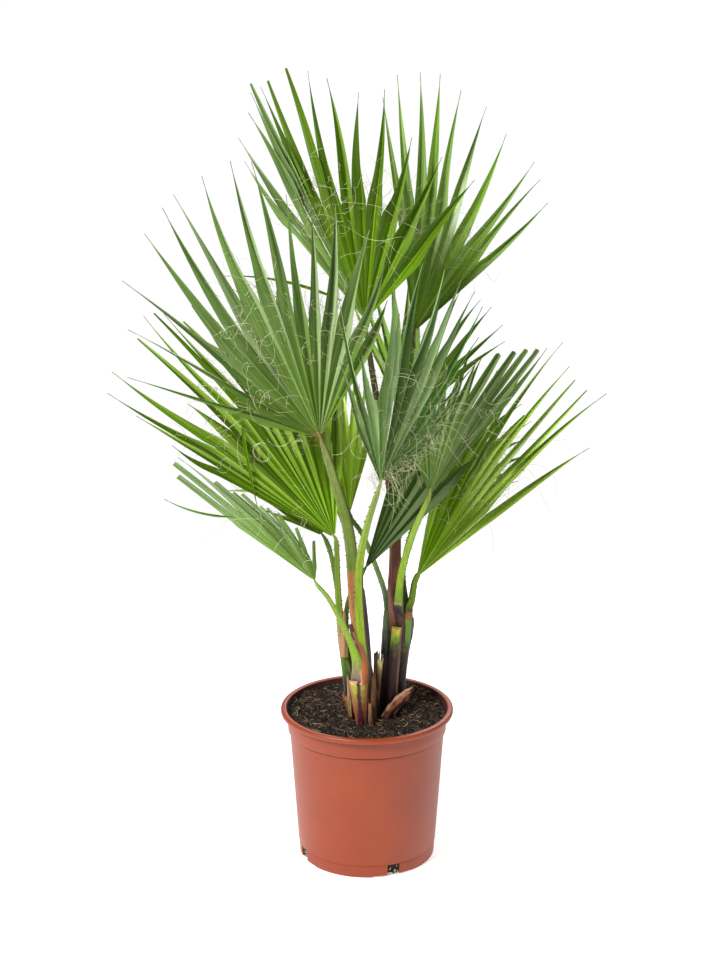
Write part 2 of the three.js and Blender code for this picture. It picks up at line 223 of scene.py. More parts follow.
def makePot():
    rim, top, lipRound, inside = pot['rim'], pot['height'], pot['lipRound'], pot['lipInside']
    foot, band, collar, collarFoot = pot['foot'], pot['band'], pot['collar'], pot['collarFoot']
    under, wallTop = top - pot['lip'], collar - pot['collarStep'] - 0.001
    # under the foot, round its edge and over the groove of the foot band
    profile = [(pot['middle'], 0.0), (0.03, 0.0), (pot['pad'], 0.0), (foot - 0.002, 0.0)]
    profile += arcPoints((foot - 0.0012, pot['footRound']), pot['footRound'], -80, -5, 4)
    profile += [(foot + 0.001, band - 0.0014), (foot + 0.0006, band - 0.0003), (foot + 0.0017, band + 0.0004)]
    # up the wall to the fine groove under the collar
    for i in range(9):
        profile.append((mix(foot + 0.0019, wallTop, i / 8), mix(band + 0.0014, collarFoot - 0.0024, i / 8)))
    profile += [(wallTop - 0.0006, collarFoot - 0.0016), (wallTop - 0.0006, collarFoot - 0.0003)]
    # the collar, and over the lip
    profile += [(collar - 0.0006, collarFoot), (collar - 0.0003, collarFoot + 0.0006),
                (collar + 0.0002, mix(collarFoot, under, 0.5)), (collar + 0.0005, under - 0.001)]
    profile += arcPoints((collar + 0.0020, under - 0.0015), 0.0015, 180, 90, 4)
    profile += arcPoints((rim - lipRound, under + lipRound), lipRound, -90, 0, 6)
    profile += [(rim, mix(under, top, 0.5))]
    profile += arcPoints((rim - lipRound, top - lipRound), lipRound, 0, 90, 6)
    profile += arcPoints((collar + 0.0015 + inside, top - inside), inside, 90, 180, 5)
    # down the inside, and across the floor
    profile += [(innerRadius(height), height) for height in (pot['flareStart'], 0.1)]
    profile += [(innerRadius(0), pot['floor'] + 0.001), (innerRadius(0) - 0.001, pot['floor'])]
    piece = turnedPiece('potShell', profile + [(pot['middle'], pot['floor'])], pot['segments'])
    for angle in slotAngles():
        for cutter in (slotCutter(angle), recessCutter(angle)):
            applyModifier(piece, 'BOOLEAN', operation='DIFFERENCE', solver='EXACT', object=cutter)
            bpy.data.objects.remove(cutter)
    piece.data.materials.clear()
    piece.data.materials.append(potPlastic())
    # the inner wall above the floor takes a dark peat-brown skin: painted shade inside the pot, with some
    # soil smear
    piece.data.materials.append(peat('polypropyleneInnerShadeAndSoil', ['#2E150B', '#4A2413'], 0.8))
    for face in piece.data.polygons:
        inward = face.normal.x * face.center.x + face.normal.y * face.center.y < -0.03
        if inward and pot['floor'] < face.center.z < top - lipRound:
            face.material_index = 1
    smoothPiece(piece, 38)
    finishPiece(piece, 'pot_plastic', 'pot')
    print('pot made', len(piece.data.polygons))


def slotCutter(angle):
    # a drainage slot with rounded upper corners, through the foot of the wall
    bpy.ops.mesh.primitive_cube_add(size=1)
    cutter = bpy.context.object
    cutter.scale = (0.03, pot['slotWidth'], pot['slotHeight'] + pot['below'])
    cutter.location = (pot['foot'], 0, (pot['slotHeight'] - pot['below']) / 2)
    bpy.ops.object.transform_apply()
    applyModifier(cutter, 'BEVEL', width=0.0012, segments=3)
    cutter.data.transform(Matrix.Rotation(angle, 4, 'Z'))
    return cutter


def recessCutter(angle):
    # the shallow wedge that lifts the foot off the floor at a slot
    bpy.ops.mesh.primitive_circle_add(vertices=180, radius=pot['foot'] + 0.005, fill_type='NGON')
    cutter = bpy.context.object
    bpy.ops.object.mode_set(mode='EDIT')
    for sign in (1, -1):
        edge = angle + sign * math.radians(pot['recessAngle'] / 2)
        outward = Vector((-math.sin(edge), math.cos(edge), 0)) * sign
        bpy.ops.mesh.select_all(action='SELECT')
        bpy.ops.mesh.bisect(plane_co=(0, 0, 0), plane_no=outward, clear_outer=True)
    middle = Vector((*circle(angle), 0))
    bpy.ops.mesh.select_all(action='SELECT')
    bpy.ops.mesh.bisect(plane_co=middle * pot['pad'], plane_no=-middle, clear_outer=True)
    bpy.ops.mesh.select_all(action='SELECT')
    bpy.ops.mesh.extrude_region_move(TRANSFORM_OT_translate={'value': (0, 0, pot['recess'])})
    bpy.ops.mesh.select_all(action='SELECT')
    bpy.ops.mesh.normals_make_consistent(inside=False)
    bpy.ops.object.mode_set(mode='OBJECT')
    for vertex in cutter.data.vertices:
        if vertex.co.z < pot['recess'] / 2:
            vertex.co.z -= pot['below']
    return cutter


# Foliage, crumbs and fibres are joined meshes, made from arrays of points and faces
class Heap:
    def __init__(self):
        self.points, self.faces, self.slots, self.corners = [], [], [], []

    def add(self, points, faces, slot=0, corners=()):
        start = len(self.points)
        self.points += points
        self.faces += [[start + k for k in face] for face in faces]
        self.slots += slot if isinstance(slot, list) else [slot] * len(faces)
        self.corners += corners

    def addTube(self, stations, slot):
        # a closed tube of three sides through stations of place, direction and radius
        points, faces = [], []
        for place, ahead, radius in stations:
            sideways = ahead.orthogonal().normalized()
            other = ahead.cross(sideways)
            for x, y in (circle(2 * math.pi * k / 3) for k in range(3)):
                points.append(place + (sideways * x + other * y) * radius)
        end = len(points) - 3
        for ring in range(0, end, 3):
            pairs = [(ring + k, ring + (k + 1) % 3) for k in range(3)]
            faces += [(a, b, b + 3, a + 3) for a, b in pairs]
        self.add(points, faces + [(2, 1, 0), (end, end + 1, end + 2)], slot)

    def make(self, name, materials):
        mesh = bpy.data.meshes.new(name)
        mesh.from_pydata(self.points, [], self.faces)
        for material in materials:
            mesh.materials.append(material)
        mesh.polygons.foreach_set('material_index', self.slots)
        if self.corners:
            layer = mesh.uv_layers.new(name='leafUv')
            layer.data.foreach_set('uv', [c for loop in mesh.loops for c in self.corners[loop.vertex_index]])
        piece = bpy.data.objects.new(name, mesh)
        bpy.context.collection.objects.link(piece)
        return piece


# Leaf blades. A leaflet is folded along its rib by pleat, more where it is free, and ends in a hair.
# The jitters, sway, nod, twist, depths and breadths are how far leaflets differ, looseJoin and
# looseBreadth make loose ones part early and narrow, and latestJoin is the most of its length over
# which one is joined.
blade = dict(
    hub=0.006, pleat=0.34, freePleat=0.38, thickness=0.0003, rows=24, ribWidth=0.045, joinJitter=0.09,
    widest=0.0105, taper=1.15, hairStart=0.93, hair=0.0003, driedWidth=0.0012, aimJitter=1.2,
    lengthJitter=0.04, sway=0.013, nod=0.022, twist=46, depths=(0.8, 1.25), breadths=(0.8, 1.12),
    looseJoin=0.62, looseBreadth=0.6, latestJoin=0.75,
)

# What a frond has where it says nothing
plainFrond = dict(
    tipHalf=3.4, swell=0, footFlare=0.25, flareEnd=0.25, thorny=1, toothSides=(-1, 1), turn=0, joined=0.5,
    cup=8, droop=0.02, tips=(), own=0.65, least=0, fold=1, cuts=(), cutOff=1.4, split=1, loose=0,
    bends={}, leaf='dark', stalk='plain', threads=20, fuzz=0, rings=(), tangles=(), strays=(),
)

# Each frond of the crown, in millimetres. Its stalk runs from base by way of via to hub, is halfWidth
# wide at its foot, which footFlare widens up to flareEnd of its length, and tipHalf at its tip. The blade
# points to aim, seen from the front; back leans it away and turn swings its right side away. lengths
# are its outline at even steps over spread, and joined is the share over which leaflets hang together.
# tips, where given, are the real leaflets: direction from the middle, and length. Their ribs lie evenly
# over fan, or lean to their own direction by the share own, and least is their least half width.
# cuts are the numbers of the trimmed leaflets, whose whole length was cutOff times what is left. loose
# leaflets at the left are narrow and part early, and split parts the last one. bends are how far single
# tips lean out of the fan. sideLeaf is the look of the first leaflets, with their number. rings are
# open rings of thread: direction, reach and radius. tangles are mats of threads: direction, reach and
# count. strays are thin leaflets that stand apart: start, end, bow at the middle and half width.
fronds = [
    dict(name='upper_left', clump='left', base=(-4, -26), halfWidth=5.8, tipHalf=4.6, swell=0.5,
         via=[(-15.8, -36, 370), (-24, -56, 485), (-44, -80, 572)], hub=(-62, -95, 634), aim=112, back=-6,
         turn=-10, spread=104, cup=10, droop=0.03, lengths=[250, 300, 350, 395, 350, 335, 285],
         tips=[(-46, 264), (-34.5, 291), (-26, 335), (-15.5, 360), (-9.5, 375), (-6, 384), (0, 389),
         (6.5, 402), (10, 394), (15.5, 345), (21, 338), (26, 353), (34.5, 331), (40, 290), (45, 236)],
         loose=3, leaf='grey', sideLeaf=('mid', 3), stalk='upperLeft', threads=130, fuzz=24,
         rings=[(-27, 93, 9), (-8, 50, 19), (-16, 148, 12), (-68, 55, 13), (-94, 31, 11), (-82, 81, 14)],
         tangles=[(-11, 149, 16), (-24, 94, 12), (-13, 178, 8), (23, 179, 8), (39, 94, 8)]),
    dict(name='lower_left', clump='left', base=(-25, -27), halfWidth=6,
         via=[(-35, -14, 324), (-40, -10, 396)], hub=(-44, -10, 467), aim=118, back=4, turn=14, spread=66,
         joined=0.55, lengths=[375, 390, 385, 385, 360, 280, 220], tips=[(-30, 264), (-28, 327), (-27, 376),
         (-23, 387), (-18, 278), (-15, 388), (-11, 404), (-9.4, 399), (-7.8, 389), (-6, 365), (-1.7, 377),
         (5, 340), (12, 310), (20, 280), (28, 230)], cuts=[5, 7, 9, 10], cutOff=1.12, leaf='bright',
         stalk='lowerLeft', threads=100, tangles=[(-7, 274, 14), (-13, 264, 10), (7, 145, 12),
         (-15, 159, 12), (-5, 122, 8)],
         strays=[((-168.5, -12, 628.5), (-146.6, -34, 514.7), (0, -8, 0), 2.2)]),
    dict(name='low_front', clump='left', base=(-13, -42), halfWidth=5.2, footFlare=1.15, flareEnd=0.45,
         via=[(-13, -56, 301), (-27, -82, 355), (-49, -125, 418)], hub=(-68, -150, 454), aim=113, back=-24,
         turn=-30, spread=58, fan=(-24, 28), joined=0.62, lengths=[245, 262, 200, 150, 130, 70, 60],
         tips=[(-21, 250), (-18.7, 270), (-15.8, 277), (-14, 214), (-12, 187), (-9, 180), (-6, 152),
         (-3, 147), (2, 136), (12, 115), (25, 112)], own=0.5, cuts=[0, 1, 3, 4, 5, 6, 7, 8, 9, 10],
         cutOff=2.1, leaf='silver', stalk='lowFront', threads=12,
         strays=[((-170, -205, 561), (-254, -235, 594), (-3, 0, -5), 1.8)]),
    dict(name='centre_front', clump='left', base=(1, -38), halfWidth=8.6, footFlare=0.35, thorny=1.5,
         toothSides=(-1,), via=[(-8, -58, 345), (-11, -78, 440), (-2, -98, 507)], hub=(17, -125, 581),
         aim=76, back=-22, turn=25, spread=66, cup=10, lengths=[250, 300, 370, 370, 305, 190, 130],
         tips=[(-28, 280), (-24, 410), (-21, 268), (-12, 373), (-10, 295), (-5.5, 381), (-0.5, 364),
         (4, 350), (8, 322), (11, 305), (13.7, 264), (18, 235), (20.7, 181), (27, 140)],
         bends={0: (0, 30, -6.6), 1: (0, 90, -20)}, leaf='blue', stalk='centreFront', threads=90, fuzz=8,
         tangles=[(20, 22, 46), (25, 38, 60), (26, 59, 54), (22, 89, 42), (8, 120, 26), (12, 144, 26),
         (14, 161, 20), (-1, 148, 12)]),
    dict(name='low_back', clump='left', base=(-20, -13), halfWidth=3.5,
         via=[(-29, 0, 345), (-20, -14, 395)], hub=(-4, -32, 429), aim=59, back=12, turn=10, spread=34,
         leaflets=5, joined=0.8, cup=4, droop=0, lengths=[180, 205, 210, 215, 200], fold=0.5, leaf='shade',
         threads=6),
    dict(name='rear_low_left', clump='left', base=(-9, -12), halfWidth=3,
         via=[(-34, 17, 340), (-48, 31, 420)], hub=(-60, 45, 451), aim=135, back=35, turn=20, spread=60,
         leaflets=10, joined=0.55, lengths=[90, 130, 170, 190, 160], leaf='bright', threads=8),
    dict(name='rear_left', clump='left', base=(-1, -19), halfWidth=4, via=[(-6, 20, 335), (-22, 75, 425)],
         hub=(-45, 112, 480), aim=128, back=52, spread=96, leaflets=15, cup=12, droop=0.06,
         lengths=[180, 230, 260, 270, 260, 220, 170], fuzz=8),
    dict(name='right_front', clump='right', base=(42, -14), halfWidth=5.5, footFlare=0.5,
         via=[(46, -30, 420), (61, -45, 484)], hub=(83, -55, 544), aim=82, back=-12, turn=-22, spread=56,
         joined=0.6, droop=0, lengths=[95, 105, 130, 175, 225, 270, 305], tips=[(-26, 100), (-20, 110),
         (-14, 130), (-8, 150), (-2, 170), (3.5, 185), (8.8, 221), (15, 243), (18.8, 262), (21.2, 278),
         (23.2, 290), (25.2, 302)], least=6.2, fold=0.7, cuts=[7, 8, 9, 10], leaf='mid', stalk='rightFront',
         threads=36, fuzz=6),
    dict(name='lower_right', clump='right', base=(56.5, 2), halfWidth=5.2, tipHalf=4.2,
         via=[(61.5, 12, 370)], hub=(68, 26, 397), aim=62, back=12, turn=20, spread=50, fan=(-25, 22),
         joined=0.55, droop=0.06, lengths=[168, 218, 278, 388, 368, 373, 303], tips=[(-19.7, 175),
         (-15.6, 216), (-11.4, 267), (-7, 327), (-2.3, 378), (2.6, 404), (5.2, 278), (7.2, 379), (9.3, 367),
         (12.9, 367), (16, 383), (22.5, 309)], own=0.4, least=5.2, cuts=[6, 8, 9], cutOff=1.1, split=0.7,
         leaf='spring', stalk='lowerRight', threads=80, tangles=[(5, 194, 12), (6, 232, 10), (-12, 114, 8)]),
    dict(name='rear_centre', clump='right', base=(28.5, 7), halfWidth=4, via=[(21, 25, 388), (-4, 35, 452)],
         hub=(-24, 40, 485), aim=100, back=30, turn=40, spread=46, leaflets=9, joined=0.55,
         lengths=[150, 200, 230, 230, 180], leaf='lime', stalk='rearCentre', threads=0),
    # its first five leaflets take the grey look: a painted sheen where its left side is twisted towards the
    # light
    dict(name='top_front', clump='right', base=(40, 1), halfWidth=7,
         via=[(39, 3, 455), (24, 12, 585), (6, 20, 696)], hub=(-3, 25, 762), aim=90, back=-10, turn=-22,
         spread=80, droop=0, lengths=[262, 335, 352, 312, 300, 265, 270], tips=[(-37, 266), (-34, 296),
         (-29, 317), (-26, 339), (-25, 350), (-23.4, 342), (-21.6, 345), (-17.6, 354), (-13.2, 344),
         (-8.5, 334), (-1.9, 313), (4.4, 321), (14.2, 275), (24, 271), (35, 281)], own=1, least=9.4,
         fold=0.75, cuts=[4, 6, 7], cutOff=1.15, leaf='deep', sideLeaf=('grey', 5), stalk='topFront',
         threads=120, fuzz=34, rings=[(15, 77, 10.5), (14, 68, 9.5), (-20, 185, 12), (-25, 222, 10)],
         tangles=[(11, 84, 10), (-16, 114, 8), (-21, 186, 8), (19, 150, 8)],
         strays=[((-34, 10, 792), (-190, 5, 826), (0, 0, 10), 2.2)]),
    dict(name='top_back', clump='right', base=(42, 15.5), halfWidth=5,
         via=[(42, 36, 450), (44, 56, 560), (50, 76, 670)], hub=(64, 90, 730), aim=72, back=20, turn=12,
         spread=58, droop=0, lengths=[325, 345, 350, 330, 305, 285, 250], tips=[(-28, 320), (-24, 346),
         (-17.5, 351), (-12.7, 351), (-6.5, 337), (0.7, 327), (8.2, 304), (17.8, 289), (22.2, 276),
         (27.8, 256)], fold=0.8, stalk='topFront', threads=60, fuzz=10),
    dict(name='rear_right', clump='right', base=(54, 14), halfWidth=4, via=[(50, 45, 405), (66, 98, 450)],
         hub=(82, 125, 478), aim=55, back=42, spread=96, leaflets=15, cup=12, droop=0.06,
         lengths=[170, 220, 260, 268, 232, 188, 140], fuzz=8),
    dict(name='rear_high', clump='right', base=(30.5, 17.5), halfWidth=3.5,
         via=[(33, 36, 390), (36, 65, 460), (40, 92, 550)], hub=(50, 118, 592), aim=74, back=50, spread=72,
         leaflets=12, cup=10, droop=0.04, lengths=[200, 240, 265, 275, 265, 240, 200], stalk='topFront',
         fuzz=8),
]
fronds = [{**plainFrond, **frond} for frond in fronds]

# Leaf greens: near the hub, out at the tips, the same two as a painted sheen on the pleat halves that
# face the light, the rib, the slot, and the gains of the painted-shade, the plain and the painted-sheen skin
leafLooks = {
    'grey': ('#6D8D32', '#7C9958', '#869F5E', '#A4BB86', '#466226', 'grey_green_leaf', (0.72, 1, 0.9)),
    'silver': ('#6D8D32', '#8AA76A', '#8DA764', '#B4CA9C', '#56763A', 'grey_green_leaf', (0.75, 1.15, 1.13)),
    'blue': ('#5E8535', '#668F46', '#7B9D56', '#9BB97B', '#C0C674', 'grey_green_leaf', (0.54, 0.95, 1.15)),
    # bright, deep, spring and lime are lighter yellow-greens that paint in light shining through these fans
    # from behind; lime most, as its fan sits in the shade of others
    'bright': ('#709A04', '#5E8519', '#7BA128', '#93B34A', '#8FA627', 'bright_leaf', (0.5, 0.86, 1)),
    'deep': ('#689103', '#577D14', '#6F9621', '#85A640', '#8CA425', 'bright_leaf', (0.74, 0.77, 0.77)),
    'spring': ('#7BA504', '#678E1A', '#87AC29', '#A1BF4C', '#95AD27', 'bright_leaf', (0.66, 1.1, 1.25)),
    'lime': ('#8CAC18', '#80A42D', '#99B53F', '#ABC25D', '#B4C04A', 'bright_leaf', (1.2, 2, 1.8)),
    'mid': ('#62802C', '#60823E', '#71894A', '#83995F', '#5C7A2E', 'mid_green_leaf', (0.72, 0.85, 0.85)),
    'dark': ('#6A8F18', '#80A640', '#74953F', '#88A75B', '#94A752', 'dark_leaf', (0.92, 1.1, 1.02)),
    'shade': ('#3C5E00', '#4A6C0A', '#466808', '#55780E', '#3A560D', 'dark_leaf', (0.5, 0.6, 0.56)),
}
# skins of the left and right halves of a leaflet: 0 the painted-shade copy, 1 the plain one, 2 the
# painted-sheen copy, which goes mostly on the right halves, whose pleats face the lamp at the upper left
pleatTones = [(0, 2), (0, 2), (0, 2), (1, 2), (0, 1), (1, 0), (2, 0)]


def leafSkin(name, inner, outer, gain, rough):
    # Palm leaf, fresh: leathery green skin with fine parallel veins along every leaflet (about 1 mm
    # apart, drawn at 2 mm so that they show), yellower at the hub and bluer with wax at the tips
    made, shader, add, place = newMaterial(name)
    along = add('UVMap', uv_map='leafUv')
    veins = stretchedNoise(add, along, (420, 6, 1), 2, 0.5)
    patches = add('TexNoise', {'Vector': place, 'Scale': 18, 'Detail': 3})
    reach = add('SeparateXYZ', {'Vector': along}, 'Y')
    outward = add('MapRange', {'Value': reach, 'From Min': 0.05, 'From Max': 0.26})
    wandering = add('Math', {0: patches, 1: 0.7, 2: outward}, operation='MULTIPLY_ADD', use_clamp=True)
    shifted = add('Math', {0: wandering, 1: 0.35}, operation='SUBTRACT', use_clamp=True)
    ground = add('Mix', {'Factor': shifted, 'A': hexColor(inner, gain), 'B': hexColor(outer, gain)},
                 data_type='RGBA')
    color = streakedColor(add, ground, veins, 0.3, 0.72, 0.55, 1.45)
    bump = add('Bump', {'Height': veins, 'Strength': 0.12, 'Distance': 0.0003})
    feed(shader, {'Base Color': color, 'Normal': bump, 'Roughness': rough, 'IOR': 1.42})
    return made


def leafSkins(key):
    # the painted-shade, plain and painted-sheen copies of one look, for the shaded and the lit pleat halves,
    # and its rib skin
    inner, outer, sheen, light, rib, _, gains = leafLooks[key]
    roughs = (0.6, 0.6, 0.6) if key == 'shade' else (0.4, 0.4, 0.34)
    title, pairs = key.capitalize(), [(inner, outer), (inner, outer), (sheen, light)]
    skins = [leafSkin(f'palmLeaf{title}{tone}', *pair, gain, rough)
             for tone, pair, gain, rough in zip(('Dim', 'Plain', 'Waxy'), pairs, gains, roughs)]
    return skins + [leafSkin(f'palmRib{title}', rib, rib, 1.0, 0.5)]


def plainFibre(name, code, rough):
    # Dry plant fibre: straw-coloured and dull, a little uneven in tone along its length
    made, shader, add, place = newMaterial(name)
    tone = add('TexNoise', {'Vector': place, 'Scale': 60, 'Detail': 2})
    color = add('ValToRGB', {'Fac': tone}, stops=[(0.3, hexColor(code, 0.6)), (0.7, hexColor(code))])
    feed(shader, {'Base Color': color, 'Roughness': rough})
    return made


def bladeFrame(frond):
    aim, back, turn = (math.radians(frond[key]) for key in ('aim', 'back', 'turn'))
    middle = Vector((math.cos(aim), math.tan(back), math.sin(aim))).normalized()
    level = Vector((math.sin(aim), 0, -math.cos(aim)))
    face = level.cross(middle)
    side = level * math.cos(turn) - face * math.sin(turn)
    normal = face * math.cos(turn) + level * math.sin(turn)
    return middle, side, normal


def lengthAt(frond, theta):
    lengths = frond['lengths']
    place = (theta / frond['spread'] + 0.5) * (len(lengths) - 1)
    step = min(max(int(place), 0), len(lengths) - 2)
    return mix(lengths[step], lengths[step + 1], min(max(place - step, 0), 1)) / 1000


def bladePoint(frond, axes, theta, reach):
    # a point of the fan, reach metres out from its hub in direction theta
    middle, side, normal = axes
    length = lengthAt(frond, theta)
    angle = math.radians(theta)
    fold = math.radians(frond['cup'] * min(abs(2 * theta / frond['spread']), 1.2) ** 1.5)
    place = point(frond['hub'])
    place += middle * (math.cos(fold) * math.cos(angle) * reach)
    place += side * (math.cos(fold) * math.sin(angle) * reach)
    place += normal * (math.sin(fold) * reach)
    place.z -= frond['droop'] * length * (reach / length) ** 2.5
    return place


def leafletPlan(frond):
    # the leaflets, the directions of the edges between them, and how far out each edge is joined
    count = len(frond['tips']) or frond['leaflets']
    low, high = frond.get('fan', (-frond['spread'] / 2, frond['spread'] / 2))
    plan = []
    for i in range(count):
        rib = mix(low, high, (i + 0.5) / count)
        if frond['tips']:
            aim, length = frond['tips'][i][0], frond['tips'][i][1] / 1000
            rib = mix(rib, aim, frond['own'])
        else:
            aim = rib + rng.uniform(-1, 1) * blade['aimJitter']
            length = lengthAt(frond, rib) * (1 + rng.uniform(-1, 1) * blade['lengthJitter'])
        plan.append(dict(rib=rib, aim=aim, length=length, bend=point(frond['bends'].get(i, (0, 0, 0))),
                         whole=length * frond['cutOff'] if i in frond['cuts'] else length,
                         broad=blade['looseBreadth'] if i < frond['loose'] else 1.0))
    ribs = [leaflet['rib'] for leaflet in plan]
    edges = [(a + b) / 2 for a, b in zip(ribs, ribs[1:])]
    edges = [ribs[0] - (ribs[1] - ribs[0]) / 2, *edges, ribs[-1] + (ribs[-1] - ribs[-2]) / 2]
    joins = [frond['joined'] * lengthAt(frond, edge) * (1 + rng.uniform(-1, 1) * blade['joinJitter'])
             for edge in edges]
    for i in range(frond['loose']):
        joins[i] *= blade['looseJoin']
    joins[-2] *= frond['split']
    return plan, edges, joins


def leafletRows(frond, axes, leaflet, edges, joins):
    # left edge, rib and right edge from hub to tip, with the way up from the leaf's face
    middle, side, normal = axes
    rib, length, whole = leaflet['rib'], leaflet['length'], leaflet['whole']
    joins = [min(join, length * blade['latestJoin']) for join in joins]
    parting = min(joins)
    nod = rng.uniform(-1, 0.7) * blade['nod']
    sway = rng.uniform(-1, 1) * blade['sway']
    twist = math.radians(rng.uniform(-1, 1) * blade['twist'])
    depth = rng.uniform(*blade['depths'])
    breadth = rng.uniform(*blade['breadths']) * leaflet['broad']
    rows = []
    for i in range(blade['rows'] + 1):
        reach = mix(blade['hub'], length, i / blade['rows'])
        free = max(0.0, (reach - parting) / (whole - parting))
        swing = (1 - parting / reach) / (1 - parting / length) if reach > parting else 0.0
        theta = mix(rib, leaflet['aim'], swing)
        across = side * math.cos(math.radians(theta)) - middle * math.sin(math.radians(theta))
        centre = bladePoint(frond, axes, theta, reach)
        centre += normal * (nod * length * free ** 2) + across * (sway * length * 4 * free * (1 - free))
        centre += leaflet['bend'] * free ** 2
        tilt = twist * free
        level = across * math.cos(tilt) + normal * math.sin(tilt)
        up = normal * math.cos(tilt) - across * math.sin(tilt)
        sides = []
        for join, edge, sign in zip(joins, edges, (-1, 1)):
            if reach <= join:
                sides.append(bladePoint(frond, axes, edge, reach))
                continue
            past = (reach - join) / (whole - join) / blade['hairStart']
            start = join * math.radians(abs(edge - rib))
            kept = min(max(start, frond['least'] / 1000), blade['widest'])
            half = mix(start, kept, smooth(past * 3)) * mix(1, breadth, smooth(past * 3))
            half *= max(0.0, 1 - past ** blade['taper']) if past < 1 else 0.0
            sides.append(centre + level * (sign * max(half, blade['hair'])))
        fold = depth * mix(blade['pleat'], blade['freePleat'], smooth(free * 2)) * frond['fold']
        rows.append(dict(left=sides[0], rib=centre, right=sides[1], up=up, fold=fold, reach=reach,
                         width=(sides[1] - sides[0]).length))
    return rows


def addLeaflet(heap, rows, number, tones, ribSlot, tipSlot=4):
    # seven strips across: three of skin each side of a narrow rib, folded to a V with its rib low;
    # tones are the materials of the left and the right half
    spots = [-1.0, -0.68, -0.36, -blade['ribWidth'], blade['ribWidth'], 0.36, 0.68, 1.0]
    points, corners, faces, slots = [], [], [], []
    for row in rows:
        for spot in spots:
            edge = row['right'] if spot > 0 else row['left']
            rise = 2 * (1 - (1 - abs(spot)) ** 1.08) - 1
            points.append(row['rib'].lerp(edge, abs(spot)) + row['up'] * (row['width'] * row['fold'] * rise))
            corners.append((spot * row['width'] / 2 + number * 0.083, row['reach']))
    columns = len(spots)
    middle = columns // 2 - 1
    for r in range(len(rows) - 1):
        dried = r == len(rows) - 2 and rows[r]['width'] < blade['driedWidth']
        for c in range(columns - 1):
            k = r * columns + c
            faces.append((k, k + 1, k + columns + 1, k + columns))
            slots.append(tipSlot if dried else ribSlot if c == middle else tones[0 if c < middle else 1])
    heap.add(points, faces, slots, corners)


def addStray(heap, start, end, bow, half):
    start, end = point(start), point(end)
    ahead = (end - start).normalized()
    level = ahead.cross(Vector((0, -1, 0))).normalized()
    rows = []
    for i in range(blade['rows'] + 1):
        share = i / blade['rows']
        centre = start.lerp(end, share) + point(bow) * (4 * share * (1 - share))
        width = 2 * max(half / 1000 * min(1, 0.35 + share * 3) * (1 - share ** 2.2), blade['hair'])
        rows.append(dict(left=centre - level * width / 2, rib=centre, right=centre + level * width / 2,
                         up=level.cross(ahead), width=width, fold=blade['freePleat'], reach=0.2 * share))
    addLeaflet(heap, rows, 3, (1, 1), 1)


def pieceName(frond):
    return ''.join(word.capitalize() for word in frond['name'].split('_'))


def makeBlades():
    skins = {key: leafSkins(key) for key in leafLooks}
    driedTip = plainFibre('leafTipDried', '#6E5F38', 0.8)
    splits = []
    for frond in fronds:
        axes = bladeFrame(frond)
        heap = Heap()
        plan, edges, joins = leafletPlan(frond)
        sideLeaf, sideCount = frond.get('sideLeaf', (frond['leaf'], 0))
        for number, leaflet in enumerate(plan):
            rows = leafletRows(frond, axes, leaflet, edges[number:number + 2], joins[number:number + 2])
            # slots 0 to 3 are the leaf's own skins, 4 the dried tip, 5 to 8 the skins of sideLeaf
            first = 5 if number < sideCount else 0
            addLeaflet(heap, rows, number, [first + tone for tone in rng.choice(pleatTones)], first + 3)
        for stray in frond['strays']:
            addStray(heap, *stray)
        piece = heap.make('blade' + pieceName(frond), skins[frond['leaf']] + [driedTip] + skins[sideLeaf])
        applyModifier(piece, 'SOLIDIFY', thickness=blade['thickness'], offset=0)
        smoothPiece(piece, 32)
        finishPiece(piece, leafLooks[frond['leaf']][5], 'blade_' + frond['name'])
        splits.append((frond, axes, edges, joins))
    print('blades made')
    return splits


# Threads: the pale curly filaments that hang where leaflets part, in tangles and open rings too, and
# brown fuzz at the hubs. start is where they leave the leaf, as a share of how far out it is joined.
thread = dict(radius=0.0003, step=0.0028, sag=0.02, start=(0.7, 1.12), wildness=(0.5, 1.5), shortest=0.03,
              longest=0.13)
tangle = dict(angleSpread=4, reachSpread=0.014, depths=(0.002, 0.012), lengths=(0.03, 0.09),
              wildness=(1.2, 2.6))
openRing = dict(threads=2, sizes=(0.85, 1.15), depths=(0.004, 0.010), arcs=(4, 8), wildness=0.12)
fuzz = dict(spread=0.005, length=0.028, lengths=(0.4, 1.3), wildness=1.6)


def addThread(heap, start, heading, length, wildness, slot=0, ring=None):
    # ring, where given, is the axis and radius of an open ring that the filament curls into
    steps = max(5, int(length / thread['step']))
    axis = gaussVector().normalized()
    bend = rng.uniform(4, 15) * rng.choice([-1, 1]) * wildness
    if ring:
        axis, bend = ring[0], math.degrees(thread['step'] / ring[1])
    place, ahead = start, heading.normalized()
    stations = []
    for i in range(steps + 1):
        stations.append((place, ahead, thread['radius'] * (1 - 0.5 * i / steps)))
        bend += rng.gauss(0, 1.5) * wildness
        axis = (axis + gaussVector() * 0.08).normalized()
        ahead = (Matrix.Rotation(math.radians(bend), 3, axis) @ ahead).normalized()
        ahead = (ahead - Vector((0, 0, thread['sag']))).normalized()
        place = place + ahead * thread['step']
    heap.addTube(stations, slot)


